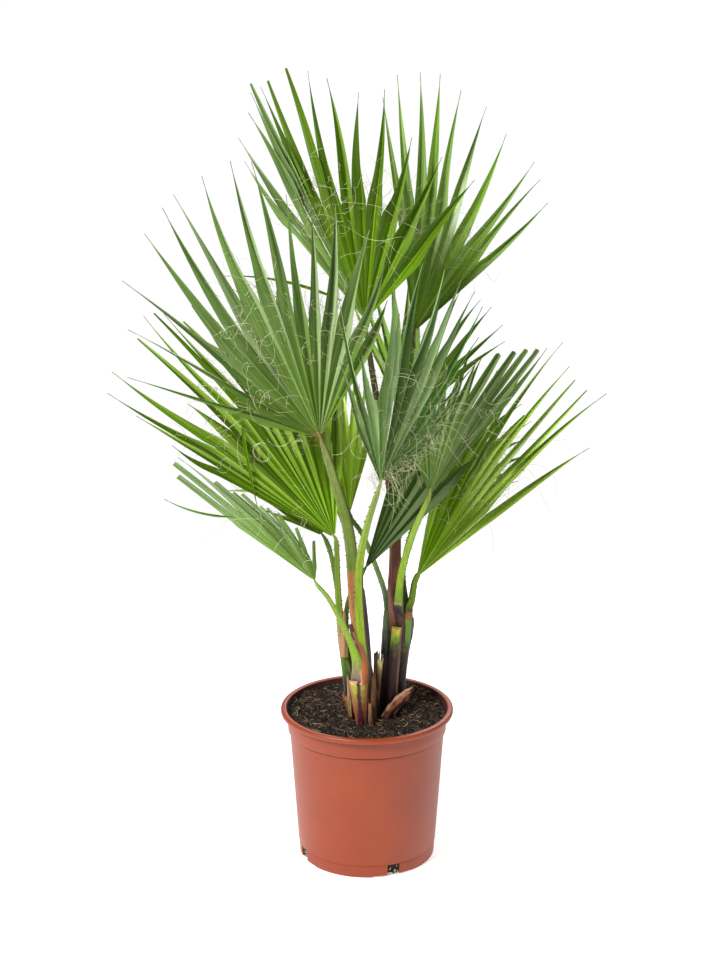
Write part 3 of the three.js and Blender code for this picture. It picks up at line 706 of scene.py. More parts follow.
def makeThreads(splits):
    heap = Heap()
    for frond, axes, edges, joins in splits:
        middle, side, normal = axes
        for _ in range(frond['threads']):
            number = rng.randint(1, len(edges) - 2)
            reach = joins[number] * rng.uniform(*thread['start'])
            start = bladePoint(frond, axes, edges[number], reach) - normal * 0.003
            outward = (bladePoint(frond, axes, edges[number], reach + 0.05) - start).normalized()
            heading = outward + normal * rng.uniform(-0.9, 0.4) + side * rng.uniform(-1.4, 1.4)
            length = mix(thread['shortest'], thread['longest'], rng.random() ** 1.8)
            addThread(heap, start, heading, length, rng.uniform(*thread['wildness']))
        for theta, reach, count in frond['tangles']:
            for _ in range(count):
                angle = theta + rng.gauss(0, tangle['angleSpread'])
                out = max(reach / 1000 + rng.gauss(0, tangle['reachSpread']), blade['hub'])
                start = bladePoint(frond, axes, angle, out) - normal * rng.uniform(*tangle['depths'])
                heading = side * rng.gauss(0, 1) + middle * rng.gauss(0, 1) - normal * rng.uniform(0, 0.4)
                length = rng.uniform(*tangle['lengths'])
                addThread(heap, start, heading, length, rng.uniform(*tangle['wildness']))
        for theta, reach, size in frond['rings']:
            for _ in range(openRing['threads']):
                turn = rng.uniform(0, 2 * math.pi)
                out = middle * math.cos(turn) + side * math.sin(turn)
                radius = size / 1000 * rng.uniform(*openRing['sizes'])
                centre = bladePoint(frond, axes, theta, reach / 1000)
                start = centre - normal * rng.uniform(*openRing['depths']) + out * radius
                length = radius * rng.uniform(*openRing['arcs'])
                addThread(heap, start, normal.cross(out), length, openRing['wildness'], ring=(normal, radius))
        for _ in range(frond['fuzz']):
            start = point(frond['hub']) + gaussVector(fuzz['spread'])
            heading = middle + side * rng.uniform(-1, 1) + normal * rng.uniform(-1, 0.3)
            length = fuzz['length'] * rng.uniform(*fuzz['lengths'])
            addThread(heap, start, heading, length, fuzz['wildness'], 1)
    looks = [plainFibre('palmFilamentDry', '#DCDCAA', 0.7), plainFibre('palmHubFibre', '#9A6E3E', 0.8)]
    piece = heap.make('leafThreads', looks)
    smoothPiece(piece, 60)
    finishPiece(piece, 'dry_sheath')
    print('threads made', len(piece.data.polygons))


# Petioles: leaf stalks with a shallow channel on top and small teeth along both edges. costa is the
# short midrib that runs on under the blade, gap keeps a stalk clear of its clump, and rampLow and
# rampHigh are the heights between which the colours change.
petiole = dict(around=20, along=44, flatness=0.72, channel=0.38, gap=0.0003, costa=0.005, upright=0.012,
               toothStep=0.009, toothLength=0.0024, toothed=(0.25, 0.97), missingTeeth=0.3,
               rampLow=0.20, rampHigh=0.80)

# Stalk colours by height in millimetres; edge is the toothed margin; band is a darker right flank, with
# the height in metres where it ends and how far out it starts
stalkLooks = {
    'upperLeft': dict(stops=[(250, '#7A4026'), (300, '#B06C3C'), (360, '#BA7A48'), (425, '#A86A3C'),
        (437, '#5E7226'), (520, '#66782A'), (620, '#7E8A48')], edge='#46501E'),
    'lowerLeft': dict(stops=[(250, '#1E1018'), (266, '#261C1C'), (274, '#35481C'), (283, '#4C6E26'),
        (296, '#557C26'), (301, '#5A3A28'), (308, '#B08C62'), (345, '#A89A5C'), (360, '#7C9C2C'),
        (460, '#6A8A24')], edge='#4A4A2A', band=('#96705A', 0.6, 0.4)),
    'lowFront': dict(stops=[(250, '#5A4644'), (280, '#7A6860'), (298, '#8A8C4C'), (318, '#86AA2C'),
        (450, '#829E34')], edge='#8CB044'),
    'centreFront': dict(stops=[(250, '#3E2E28'), (292, '#5A4A2C'), (312, '#8A9A2A'), (335, '#9AB414'),
        (460, '#8CA81C'), (560, '#82964A')], edge='#6A9030', band=('#3A2234', 0.46, 0.38)),
    'rightFront': dict(stops=[(345, '#2E1C28'), (370, '#3A2430'), (373.8, '#4E4A2A'), (374.6, '#B8A080'),
        (375.8, '#A89A70'), (377, '#72902A'), (410, '#86A822'), (540, '#849C3A')], edge='#4C6E20'),
    'lowerRight': dict(stops=[(345, '#5A5030'), (370, '#6E8C22'), (420, '#6B9020')], edge='#4A6A1E'),
    'rearCentre': dict(stops=[(345, '#7A8A70'), (400, '#748C52'), (460, '#6A8C34')], edge='#4A6238'),
    'topFront': dict(stops=[(345, '#4E2E22'), (420, '#643A28'), (500, '#543224'), (620, '#4A3A26'),
        (760, '#565426')], edge='#3A2822'),
    'plain': dict(stops=[(250, '#5A6A30'), (320, '#587422'), (600, '#5A742A'), (720, '#5A6E2E')],
        edge='#3E5A22'),
}


def colorByHeight(add, place, scale, wander, stops):
    # the height, and the colours of the stops with borders that wander by so many metres
    height = add('SeparateXYZ', {'Vector': place}, 'Z')
    noisy = add('TexNoise', {'Vector': place, 'Scale': scale, 'Detail': 3})
    uneven = add('Math', {0: noisy, 1: wander, 2: height}, operation='MULTIPLY_ADD')
    level = add('Math', {0: uneven, 1: wander / 2}, operation='SUBTRACT')
    low, high = petiole['rampLow'], petiole['rampHigh']
    span = add('MapRange', {'Value': level, 'From Min': low, 'From Max': high})
    stops = [((mark / 1000 - low) / (high - low), hexColor(code)) for mark, code in stops]
    return height, level, add('ValToRGB', {'Fac': span}, stops=stops)


def acrossOf(add):
    # -1 at the left edge of a wrapped piece, +1 at its right edge, from its own UV map
    wrap = add('UVMap', uv_map='UVMap')
    share = add('SeparateXYZ', {'Vector': wrap}, 'X')
    turn = add('Math', {0: share, 1: 2 * math.pi}, operation='MULTIPLY')
    return add('Math', {0: turn}, operation='COSINE')


def stalkSkin(name, look):
    # Palm petiole, living: smooth waxy rind over long fibres (streaks about 2 mm wide), darker along
    # its toothed margins, that passes from the colours of its sheath to the green of the blade
    made, shader, add, place = newMaterial(name)
    _, level, ground = colorByHeight(add, place, 60, 0.008, look['stops'])
    across = acrossOf(add)
    if 'band' in look:
        code, until, start = look['band']
        flank = add('MapRange', {'Value': across, 'From Min': start, 'From Max': start + 0.2})
        below = add('MapRange', {'Value': level, 'From Min': until, 'From Max': until - 0.03})
        both = add('Math', {0: flank, 1: below}, operation='MULTIPLY')
        ground = add('Mix', {'Factor': both, 'A': ground, 'B': hexColor(code)}, data_type='RGBA')
    outness = add('Math', {0: across}, operation='ABSOLUTE')
    margin = add('MapRange', {'Value': outness, 'From Min': 0.8, 'From Max': 0.97, 'To Max': 0.8})
    edged = add('Mix', {'Factor': margin, 'A': ground, 'B': hexColor(look['edge'])}, data_type='RGBA')
    streaks = stretchedNoise(add, place, (420, 420, 9), 4, 0.65)
    color = streakedColor(add, edged, streaks, 0.45, 0.75, 1.1, 0.62)
    bump = add('Bump', {'Height': streaks, 'Strength': 0.4, 'Distance': 0.0004})
    feed(shader, {'Base Color': color, 'Normal': bump, 'Roughness': 0.5, 'IOR': 1.36})
    return made


def curveThrough(points, count):
    # a smooth run through the points, resampled at even steps
    ends = [points[0] * 2 - points[1]] + points + [points[-1] * 2 - points[-2]]
    dense = []
    for i in range(1, len(ends) - 2):
        p0, p1, p2, p3 = ends[i - 1:i + 3]
        for k in range(24):
            t = k / 24
            dense.append(0.5 * ((2 * p1) + (p2 - p0) * t + (2 * p0 - 5 * p1 + 4 * p2 - p3) * t ** 2
                                + (3 * p1 - p0 - 3 * p2 + p3) * t ** 3))
    dense.append(points[-1].copy())
    lengths = [0.0]
    for a, b in zip(dense, dense[1:]):
        lengths.append(lengths[-1] + (b - a).length)
    run, k = [], 0
    for i in range(count + 1):
        wanted = lengths[-1] * i / count
        while k < len(lengths) - 2 and lengths[k + 1] < wanted:
            k += 1
        share = (wanted - lengths[k]) / max(lengths[k + 1] - lengths[k], 1e-9)
        run.append(dense[k].lerp(dense[k + 1], share))
    return run


def wrappedTube(name, around, along, placeOf, skin, smoothAngle):
    # a grid is added, its width is wrapped round by placeOf(u, v), and its seam and ends are closed
    bpy.ops.mesh.primitive_grid_add(x_subdivisions=around, y_subdivisions=along, size=1)
    piece = bpy.context.object
    piece.name = name
    for vertex in piece.data.vertices:
        vertex.co = placeOf(vertex.co.x + 0.5, vertex.co.y + 0.5)
    bpy.ops.object.mode_set(mode='EDIT')
    bpy.ops.mesh.select_all(action='SELECT')
    bpy.ops.mesh.remove_doubles(threshold=1e-6)
    closeMesh()
    piece.data.materials.append(skin)
    smoothPiece(piece, smoothAngle)
    return piece


def stalkPath(frond, axes):
    start = Vector((*point(frond['base']), clumps[frond['clump']]['top'] + petiole['gap']))
    hub = point(frond['hub'])
    points = [start, start + Vector((0, 0, petiole['upright']))] + [point(spot) for spot in frond['via']]
    # the stalk bends into its blade half way, and runs on under it
    arrival = (axes[0] + (hub - points[-1]).normalized()).normalized()
    end = hub + axes[0] * (blade['hub'] * math.cos(math.radians(frond['spread'] / 2)) - petiole['gap'])
    last = end + (axes[0] + arrival) * (petiole['costa'] / 2) + axes[2] * 0.001
    return curveThrough(points + [hub - arrival * 0.008, end, last], petiole['along'])


def makePetioles():
    skins = {key: stalkSkin('petioleRind' + key[0].upper() + key[1:], look)
             for key, look in stalkLooks.items()}
    toothSkin = plainFibre('petioleToothHorn', '#8E7440', 0.5)
    count = petiole['along']
    for frond in fronds:
        axes = bladeFrame(frond)
        path = stalkPath(frond, axes)
        levelSide = Vector((axes[1].x, axes[1].y, 0)).normalized()
        frames = []
        for i, place in enumerate(path):
            u = i / count
            ahead = (path[min(i + 1, count)] - path[max(i - 1, 0)]).normalized()
            across = levelSide.lerp(axes[1], u)
            across = (across - ahead * across.dot(ahead)).normalized()
            half = mix(frond['halfWidth'] * 1.08, frond['tipHalf'], u) / 1000
            half *= 1 + frond['footFlare'] * (1 - smooth(u / frond['flareEnd']))
            half *= (1 + frond['swell'] * 4 * u * (1 - u)) * mix(1, 0.35, smooth((u - 0.90) / 0.10))
            frames.append((place, across, ahead.cross(across), half, u))

        def placeOf(u, v):
            place, across, up, half, share = frames[min(int(round(v * count)), count)]
            x, y = circle(2 * math.pi * u)
            flat = mix(1, petiole['flatness'], min(share * 4, 1))
            channel = petiole['channel'] * math.exp(-(x / 0.5) ** 2) if y > 0 else 0.0
            # up is the lower side of the blade, so the channel lies on the other one
            return place + across * (x * half) - up * (y * (1 - channel) * half * flat)

        piece = wrappedTube('petiole' + pieceName(frond), petiole['around'], count, placeOf,
                            skins[frond['stalk']], 40)
        teeth = Heap()
        total = sum((b - a).length for a, b in zip(path, path[1:]))
        low, high = petiole['toothed']
        for i in range(int(total / petiole['toothStep'])):
            for sign in frond['toothSides']:
                share = (i + rng.uniform(0.2, 0.8)) * petiole['toothStep'] / total
                if share < low or share > high or rng.random() < petiole['missingTeeth']:
                    continue
                place, across, up, half, _ = frames[int(share * count)]
                size = petiole['toothLength'] * rng.uniform(0.5, 1.15) * frond['thorny']
                root = place + across * (sign * half * 0.93)
                addTooth(teeth, root, across * sign, up.cross(across), up, size)
        toothPiece = teeth.make('teeth' + pieceName(frond), [toothSkin])
        activate(piece)
        toothPiece.select_set(True)
        bpy.ops.object.join()
        slot = 'brown_petiole' if frond['name'] == 'top_front' else 'petiole'
        finishPiece(piece, slot, 'petiole_' + frond['name'])
    print('petioles made')


def addTooth(heap, root, out, ahead, up, size):
    long, wide = ahead * (size * 0.55), up * (size * 0.22)
    points = [root + long, root + wide, root - long, root - wide, root + out * size + ahead * (size * 0.7)]
    heap.add(points, [(0, 1, 4), (1, 2, 4), (2, 3, 4), (3, 0, 4), (3, 2, 1, 0)])


def sheathSkin(name, ground, streak, gloss, scale, across=()):
    # Palm leaf sheath: long fibres under a skin that dries from its edges, so it is streaked
    # lengthwise (about 3 mm apart); ground is by height in millimetres, across are bands of colour:
    # centre, reach, colour, strength and, where it narrows upwards, its two heights in metres
    made, shader, add, place = newMaterial(name)
    height, _, color = colorByHeight(add, place, 140, 0.03, ground)
    if across:
        spread = add('TexNoise', {'Vector': place, 'Scale': 170, 'Detail': 3})
        spot = add('Math', {0: spread, 1: 0.36, 2: acrossOf(add)}, operation='MULTIPLY_ADD')
    for centre, reach, code, strength, *taper in across:
        away = add('Math', {0: spot, 1: centre + 0.18}, operation='SUBTRACT')
        near = add('Math', {0: away}, operation='ABSOLUTE')
        for low, high in taper:
            narrow = add('MapRange', {'Value': height, 'From Min': low, 'From Max': high, 'To Min': 0.5,
                                      'To Max': 1.7})
            near = add('Math', {0: near, 1: narrow}, operation='MULTIPLY')
        limits = {'From Min': reach, 'From Max': reach * 0.45, 'To Max': strength}
        mask = add('MapRange', {'Value': near, **limits})
        color = add('Mix', {'Factor': mask, 'A': color, 'B': hexColor(code)}, data_type='RGBA')
    fibres = stretchedNoise(add, place, (scale, scale, 11), 5, 0.7)
    fine = add('MapRange', {'Value': fibres, 'From Min': 0.5, 'From Max': 0.78, 'To Max': 0.75})
    streaked = add('Mix', {'Factor': fine, 'A': color, 'B': hexColor(streak)}, data_type='RGBA')
    bump = add('Bump', {'Height': fibres, 'Strength': 0.6, 'Distance': 0.0006})
    feed(shader, {'Base Color': streaked, 'Normal': bump, 'Roughness': gloss, 'IOR': 1.36})
    return made


# Leaf-base clumps: overlapping sheaths, of which each turn of the spiral stands a little further out.
# radii run up from the foot; skin is what sheathSkin takes, with its heights in millimetres. A sheath
# stands out by lap at its edge, and the skin rises by lean on its way round to the next.
wrapping = dict(sheaths=3, climb=0.7, start=0.35, lap=0.0018, lean=0.0010, ridges=0.0012)
clumps = {
    'left': dict(foot=(-0.008, -0.031), crown=(-0.0125, -0.029), radii=[0.0150, 0.0165, 0.0200, 0.0225],
                 top=0.246, node='stem_left', slot='brown_sheath', seed=3.7, skin=(
                     'leafSheathDriedOrange', [(210, '#2E1A14'), (225, '#6A3424'), (250, '#A0603C')],
                     '#3A2018', 0.6, 300)),
    'right': dict(foot=(0.029, 0.003), crown=(0.0445, 0.001), radii=[0.0200, 0.0190, 0.0195, 0.0215],
                  top=0.346, node='stem_right', slot='purple_sheath', seed=9.1, skin=(
                      'leafSheathDarkPurple', [(210, '#141016'), (250, '#1E161C'), (300, '#33222A'),
                                               (345, '#3E2A2C')], '#3E2A2A', 0.42, 220,
                      # its bands: a reddish-brown strip on the right, and on the left flank a grey-blue band
                      # that is a painted sheen
                      [(0.72, 0.24, '#5A2E22', 0.8), (-0.8, 0.3, '#2A2A34', 0.6)])),
}


def clumpRadius(radii, u):
    stops = [0, 0.25, 0.6, 1]
    i = 0 if u <= stops[1] else 1 if u <= stops[2] else 2
    return mix(radii[i], radii[i + 1], smooth((u - stops[i]) / (stops[i + 1] - stops[i])))


def makeClumps():
    for key, clump in clumps.items():
        def placeOf(u, v):
            x, y = circle(2 * math.pi * u)
            turn = (u * wrapping['sheaths'] + v * wrapping['climb'] + wrapping['start']) % 1.0
            step = wrapping['lap'] * (1 - smooth(turn * 7)) + wrapping['lean'] * turn
            ridges = wrapping['ridges'] * noise.noise(Vector((x * 9, y * 9, v * 1.5 + clump['seed'])))
            crownEnd = 1 - 0.05 * smooth((v - 0.94) / 0.06)
            radius = (clumpRadius(clump['radii'], v) + step + ridges - wrapping['ridges']) * crownEnd
            middle = [mix(a, b, v) for a, b in zip(clump['foot'], clump['crown'])]
            return (middle[0] + x * radius, middle[1] - y * radius, mix(soil['top'] - 0.004, clump['top'], v))

        piece = wrappedTube('stem' + key.capitalize(), 96, 60, placeOf, sheathSkin(*clump['skin']), 50)
        finishPiece(piece, clump['slot'], clump['node'])
    print('clumps made')


# Soil: moist peat with clods, crumbs, grit and curly pale fibres. It sinks by edgeDrop from crown out
# to reach, and by sink all over; the bed ends at edge. waves are its bumps: height, how many to the
# metre, and seed. Clods, crumbs and grit have their number and the least and the largest size.
soil = dict(
    top=0.210, crown=0.068, edgeDrop=0.002, reach=0.1095, edge=0.1106, edgeTop=0.2064, gap=0.0003, rings=90,
    segments=200, waves=[(0.0042, 38, 0.3), (0.0026, 120, 2.0)], sink=0.0012, clods=(420, 0.0024, 0.0048),
    crumbs=(4800, 0.0007, 0.0026), grit=(420, 0.0005, 0.0011), fibres=1700, fibreSteps=7,
    fibreRise=(0.0010, 0.0045), fibreLengths=(0.003, 0.016), thickEvery=12, thickFibre=(0.0003, 0.0005),
    thinFibre=(0.00015, 0.00028),
)


def soilHeight(x, y):
    sunk = smooth((math.hypot(x, y) - soil['crown']) / (soil['reach'] - soil['crown']))
    bumps = sum(size * noise.noise(Vector((x * scale, y * scale, seed)))
                for size, scale, seed in soil['waves'])
    return soil['top'] - soil['edgeDrop'] * sunk + bumps - soil['sink']


def peat(name, codes, rough):
    # Peat potting mix, moist: nearly black and crumbly with browner flecks
    made, shader, add, place = newMaterial(name)
    flecks = add('TexNoise', {'Vector': place, 'Scale': 260, 'Detail': 5, 'Roughness': 0.7})
    color = add('ValToRGB', {'Fac': flecks}, stops=[(0.38, hexColor(codes[0])), (0.68, hexColor(codes[1]))])
    bump = add('Bump', {'Height': flecks, 'Strength': 0.9, 'Distance': 0.001})
    feed(shader, {'Base Color': color, 'Normal': bump, 'Roughness': rough})
    return made


def discPlace():
    # an even spread over the soil; None where a clump stands
    radius = (soil['reach'] - 0.0015) * math.sqrt(rng.random())
    x, y = circle(rng.uniform(0, 2 * math.pi), radius)
    taken = [math.dist((x, y), clump['foot']) < clump['radii'][0] - 0.002 for clump in clumps.values()]
    return None if any(taken) else (x, y)


def makeSoil():
    gap, bottom, flareStart = soil['gap'], pot['floor'] + soil['gap'], pot['flareStart']
    profile = [(pot['middle'], bottom), (innerRadius(0) - 0.002, bottom),
               (innerRadius(0) - gap, bottom + 0.002), (innerRadius(flareStart) - gap, flareStart),
               (soil['edge'], soil['edgeTop'] - 0.0002)]
    for i in range(1, soil['rings'] + 1):
        profile.append((mix(soil['edge'], 0.001, i / soil['rings']), soil['edgeTop']))
    piece = turnedPiece('soilBed', profile, soil['segments'])
    for vertex in piece.data.vertices:
        if vertex.co.z > soil['edgeTop'] - 0.0001:
            vertex.co.z = soilHeight(vertex.co.x, vertex.co.y)
    piece.data.materials.append(peat('pottingPeatMoist', ['#050302', '#1D110A'], 0.95))
    smoothPiece(piece, 60)
    finishPiece(piece, 'soil', 'soil')

    crumbs = Heap()
    # each with the materials that its pieces are dealt
    kinds = [(soil['clods'], [0, 0, 1]), (soil['crumbs'], [0, 0, 1, 1, 2]), (soil['grit'], None)]
    for (count, least, largest), dealt in kinds:
        for _ in range(count):
            spot = discPlace()
            if not spot:
                continue
            size, slot = rng.uniform(least, largest), rng.choice(dealt) if dealt else 3
            if math.hypot(*spot) + size <= soil['reach'] + 0.0006:
                addCrumb(crumbs, Vector((*spot, soilHeight(*spot) + size * 0.3)), size, slot)
    looks = [peat('peatCrumbBlack', ['#050302', '#170C07'], 0.95),
             peat('peatCrumbBrown', ['#120805', '#2D1B11'], 0.9),
             peat('barkCrumb', ['#22140B', '#3F2717'], 0.85), plainFibre('perliteGrit', '#B9AC92', 0.9)]
    finishPiece(crumbs.make('soilCrumbs', looks), 'soil')

    strands = Heap()
    for i in range(soil['fibres']):
        spot = discPlace()
        if not spot:
            continue
        place = Vector((*spot, soilHeight(*spot) + rng.uniform(*soil['fibreRise'])))
        angle = rng.uniform(0, 2 * math.pi)
        radius = rng.uniform(*soil['thinFibre' if i % soil['thickEvery'] else 'thickFibre'])
        length = rng.uniform(*soil['fibreLengths'])
        addStrand(strands, place, angle, length, radius, rng.choice([0, 0, 1, 1, 1, 2]))
    looks = [plainFibre('rootFibreDry', '#7E6040', 0.85), plainFibre('coirFibre', '#452E1E', 0.85),
             plainFibre('rootFibrePale', '#B49E7C', 0.85)]
    piece = strands.make('soilFibres', looks)
    smoothPiece(piece, 60)
    finishPiece(piece, 'soil')
    print('soil made', len(crumbs.faces), len(strands.faces))


def addCrumb(heap, place, size, slot):
    corners = []
    for axis in ((1, 0, 0), (0, 1, 0), (-1, 0, 0), (0, -1, 0), (0, 0, 1), (0, 0, -1)):
        wobble = Vector([rng.uniform(-limit, limit) for limit in (0.4, 0.4, 0.3)])
        corners.append(place + (Vector(axis) * rng.uniform(0.6, 1.2) + wobble) * size)
    faces = [(0, 1, 4), (1, 2, 4), (2, 3, 4), (3, 0, 4), (1, 0, 5), (2, 1, 5), (3, 2, 5), (0, 3, 5)]
    heap.add(corners, faces, slot)


def addStrand(heap, place, angle, length, radius, slot):
    # a curved fibre that lies on the soil and stays inside the pot
    steps, limit = soil['fibreSteps'], soil['reach'] - 0.001
    bend = rng.uniform(-0.7, 0.7)
    rise = rng.uniform(-0.1, 0.45)
    stations = []
    for i in range(steps + 1):
        ahead = Vector((*circle(angle), rise - 0.7 * rise * i / steps)).normalized()
        stations.append((place, ahead, radius))
        angle += bend
        place = place + ahead * (length / steps)
        flat = math.hypot(place.x, place.y)
        if flat > limit:
            place.x *= limit / flat
            place.y *= limit / flat
        place.z = max(place.z, soilHeight(place.x, place.y) + radius)
    heap.addTube(stations, slot)


# Crumbs of the mix and pale bits of fibre that have worked out at the drainage slots
slotDirt = dict(crumbs=26, least=0.0006, largest=0.0019, inward=(-0.0045, -0.0005), sideGap=0.004,
                topGap=0.005)


def makeSlotCrumbs():
    heap = Heap()
    for angle in slotAngles():
        outward = Vector((*circle(angle), 0))
        along = Vector((-outward.y, outward.x, 0))
        for _ in range(slotDirt['crumbs']):
            size = rng.uniform(slotDirt['least'], slotDirt['largest'])
            place = outward * (pot['foot'] + rng.uniform(*slotDirt['inward']))
            place += along * (rng.uniform(-0.5, 0.5) * (pot['slotWidth'] - slotDirt['sideGap']))
            place.z = size * 1.5 + (pot['slotHeight'] - slotDirt['topGap']) * rng.random() ** 1.6
            addCrumb(heap, place, size, rng.choice([0, 0, 1]))
    looks = [peat('slotPeat', ['#1A110B', '#3A2718'], 0.9), plainFibre('slotFibre', '#D8C6A4', 0.8)]
    finishPiece(heap.make('slotCrumbs', looks), 'soil')
    print('slot crumbs made')


# What a leaf base has where it says nothing
plainBase = dict(wrap=0.9, point=0, notch=0, belly=0, bow=0, ragged=3, buckle=0.9, node=None,
                 slot='dry_sheath')

# Cut and fallen leaf bases, and loose flaps of sheath, in millimetres. wrap bends the margins back round
# the stem, point narrows the top, notch dips its middle, belly widens the middle, bow leans it sideways,
# ragged is how torn the top is and buckle how uneven the skin.
leafBases = [
    dict(name='leafBaseFront', node='leaf_base_front', foot=(-8, -55, 210.5), top=(-13, -58, 278),
         facing=-95, halfWidths=(6.4, 13.5), halfThickness=3.4, wrap=0.75, notch=7, ragged=5, buckle=1,
         look='stub'),
    dict(name='leafBaseRight', node='leaf_base_right', foot=(31, -20.5, 210.5), top=(41, -26, 343),
         facing=-90, halfWidths=(9, 7), halfThickness=2.2, wrap=0.6, notch=2, slot='purple_sheath',
         look='purple'),
    dict(name='leafBaseMiddle', node='leaf_base_middle', foot=(13.5, -28, 210.5), top=(13.5, -33, 307),
         facing=-80, halfWidths=(5, 4.8), halfThickness=1.8, wrap=0.5, point=0.1, notch=1, ragged=12,
         buckle=2, look='dead'),
    dict(name='yellowStub', foot=(16, -34, 256), top=(19, -35.5, 302), facing=-70, halfWidths=(3, 4.2),
         halfThickness=1.6, point=-0.1, notch=6, ragged=4, look='cutYellow'),
    dict(name='frayedTip', foot=(-17.5, -63, 340), top=(-23.2, -62.5, 364), facing=-85, halfWidths=(3.4, 3),
         halfThickness=0.7, wrap=0.6, point=0.2, notch=5, ragged=16, look='brownBase'),
    dict(name='fallenSheath', node='fallen_sheath', foot=(23, -32, 212.6), top=(63, -29, 256), facing=-80,
         halfWidths=(5.2, 8.6), halfThickness=0.6, wrap=0.25, point=0.72, belly=0.35, ragged=12, buckle=3,
         look='papery'),
    dict(name='orangeFlap', foot=(-3, -60.5, 274), top=(-19.5, -63.5, 352), facing=-80, halfWidths=(5, 4.8),
         halfThickness=0.8, point=0.45, notch=3, belly=0.35, bow=4, look='orange'),
    dict(name='rightStub', foot=(45, -10, 208.5), top=(59.5, -16, 366), facing=-55, halfWidths=(8.2, 6.2),
         halfThickness=2.4, notch=4, ragged=6, slot='purple_sheath', look='stubGreen'),
    dict(name='plumSheath', foot=(4, -44, 270), top=(-4.8, -60, 412), facing=-90, halfWidths=(3.4, 3),
         halfThickness=1, wrap=0.8, point=0.6, belly=0.3, slot='purple_sheath', look='plum'),
    dict(name='greySheath', foot=(23.5, -16.5, 300), top=(26.5, -12, 362), facing=-110, halfWidths=(6, 5.8),
         halfThickness=1.2, point=0.2, slot='purple_sheath', look='greyGreen'),
    dict(name='darkCollar', foot=(47.5, -19.5, 318), top=(46.5, -20.5, 362), facing=-75,
         halfWidths=(7, 6.4), halfThickness=1.4, point=0.15, notch=3, slot='purple_sheath', look='darkBrown'),
    dict(name='innerStrip', foot=(36.1, -20.5, 335), top=(29, -15, 408), facing=-95, halfWidths=(5.4, 3.6),
         halfThickness=0.8, wrap=0.8, point=0.7, notch=4, ragged=12, look='brownPink'),
    dict(name='splitFlap', foot=(-32.2, -33.5, 303), top=(-31.2, -33, 372), facing=-100,
         halfWidths=(5.8, 3.4), halfThickness=0.7, point=0.7, look='tan'),
    dict(name='deadStubRight', foot=(4.8, -53, 208.5), top=(4, -52.5, 243), facing=-80,
         halfWidths=(3.4, 2.6), halfThickness=0.9, wrap=0.6, point=0.3, notch=3, look='tan'),
    dict(name='deadStubLeft', foot=(-23.5, -49, 222), top=(-27.2, -50, 284), facing=-115, halfWidths=(3, 2),
         halfThickness=0.8, wrap=0.6, point=0.5, notch=2, look='tan'),
    dict(name='deadStubSide', foot=(8.5, -44, 208), top=(8.8, -49, 282), facing=-75, halfWidths=(5.2, 4.2),
         halfThickness=1, wrap=0.7, point=0.4, notch=2, ragged=10, look='brownBase'),
]
leafBases = [{**plainBase, **base} for base in leafBases]

# Their skins, as sheathSkin takes them: name, colours by height, streak, roughness, scale and bands
baseLooks = {
    'stub': ('leafBaseCutFresh', [(210, '#46161C'), (232, '#84482E'), (252, '#8E7A3C'), (270, '#A8A838'),
        (275.5, '#D6B084')], '#7A5034', 0.5, 260, [(0.05, 0.42, '#3E0A20', 0.92, (0.215, 0.275)),
        (-0.98, 0.32, '#A86E50', 0.85), (0.98, 0.32, '#A8623A', 0.85)]),
    'purple': ('leafBasePurple', [(210, '#120B0E'), (260, '#2A181C'), (298, '#38211E'), (314, '#4E5420'),
        (330, '#86A61C'), (340, '#CDBA48')], '#2A1A1E', 0.5, 260, [(0.9, 0.34, '#7E4E38', 0.8)]),
    'stubGreen': ('leafBaseGreen', [(210, '#161012'), (270, '#221518'), (305, '#3A2C20'), (322, '#5E8426'),
        (350, '#6E9030'), (355, '#8A6034'), (366, '#6A4526')], '#4A3422', 0.5, 260),
    'greyGreen': ('leafSheathGrey', [(300, '#1E1819'), (322, '#3C3C30'), (345, '#5A664A'),
        (360, '#5E7044')], '#3A3A2E', 0.4, 260),
    'darkBrown': ('leafSheathBrownDark', [(315, '#241518'), (345, '#4A2A20'), (362, '#5E3828')], '#1E1214',
        0.45, 260),
    'plum': ('leafSheathPlum', [(270, '#241620'), (340, '#382230'), (410, '#4A3038')], '#1C1018', 0.45, 260),
    # the near-black foot of the dead base, below about 240 mm, is painted shadow between the stems
    'dead': ('leafBaseDead', [(210, '#0E0906'), (236, '#1A100A'), (247, '#6A4428'), (264, '#86603E'),
        (285, '#8A6A44'), (303, '#9C8258')], '#24160E', 0.75, 400, [(-0.1, 0.3, '#2A1A10', 0.8),
        (-0.85, 0.4, '#5A3A22', 0.6)]),
    'cutYellow': ('leafBaseCutYellow', [(256, '#4E3620'), (276, '#6E5230'), (289, '#A08C4A'),
        (300, '#DCCB84')], '#4E3A20', 0.6, 300),
    # the dark red-brown band on the papery sheath is painted shade on its inner side; the pale band is its
    # dry rim
    'papery': ('leafSheathPapery', [(210, '#4A2418'), (232, '#7A4832'), (256, '#9C7058')], '#7A4430', 0.7,
        300, [(0.75, 0.7, '#43201A', 0.85), (-0.8, 0.3, '#B08A72', 0.6)]),
    'orange': ('leafSheathOrange', [(268, '#6E4022'), (292, '#A85C2A'), (325, '#A86A46'), (352, '#A47A5E')],
        '#6A3A22', 0.6, 300, [(-0.85, 0.35, '#C89A7C', 0.6)]),
    'brownPink': ('leafSheathBrownPink', [(335, '#5E382C'), (365, '#8A5E4A'), (410, '#7A4E3C')], '#42261E',
        0.65, 260),
    'brownBase': ('leafSheathBrownBase', [(210, '#2A1810'), (235, '#6A4228'), (300, '#84583A'),
        (360, '#5A3A28')], '#3A2418', 0.7, 300),
    'tan': ('leafSheathTan', [(210, '#5A3822'), (250, '#A07E58'), (330, '#A87C58'), (372, '#A07A5A')],
        '#5A3A24', 0.75, 300, [(0.9, 0.35, '#8A9450', 0.6)]),
}


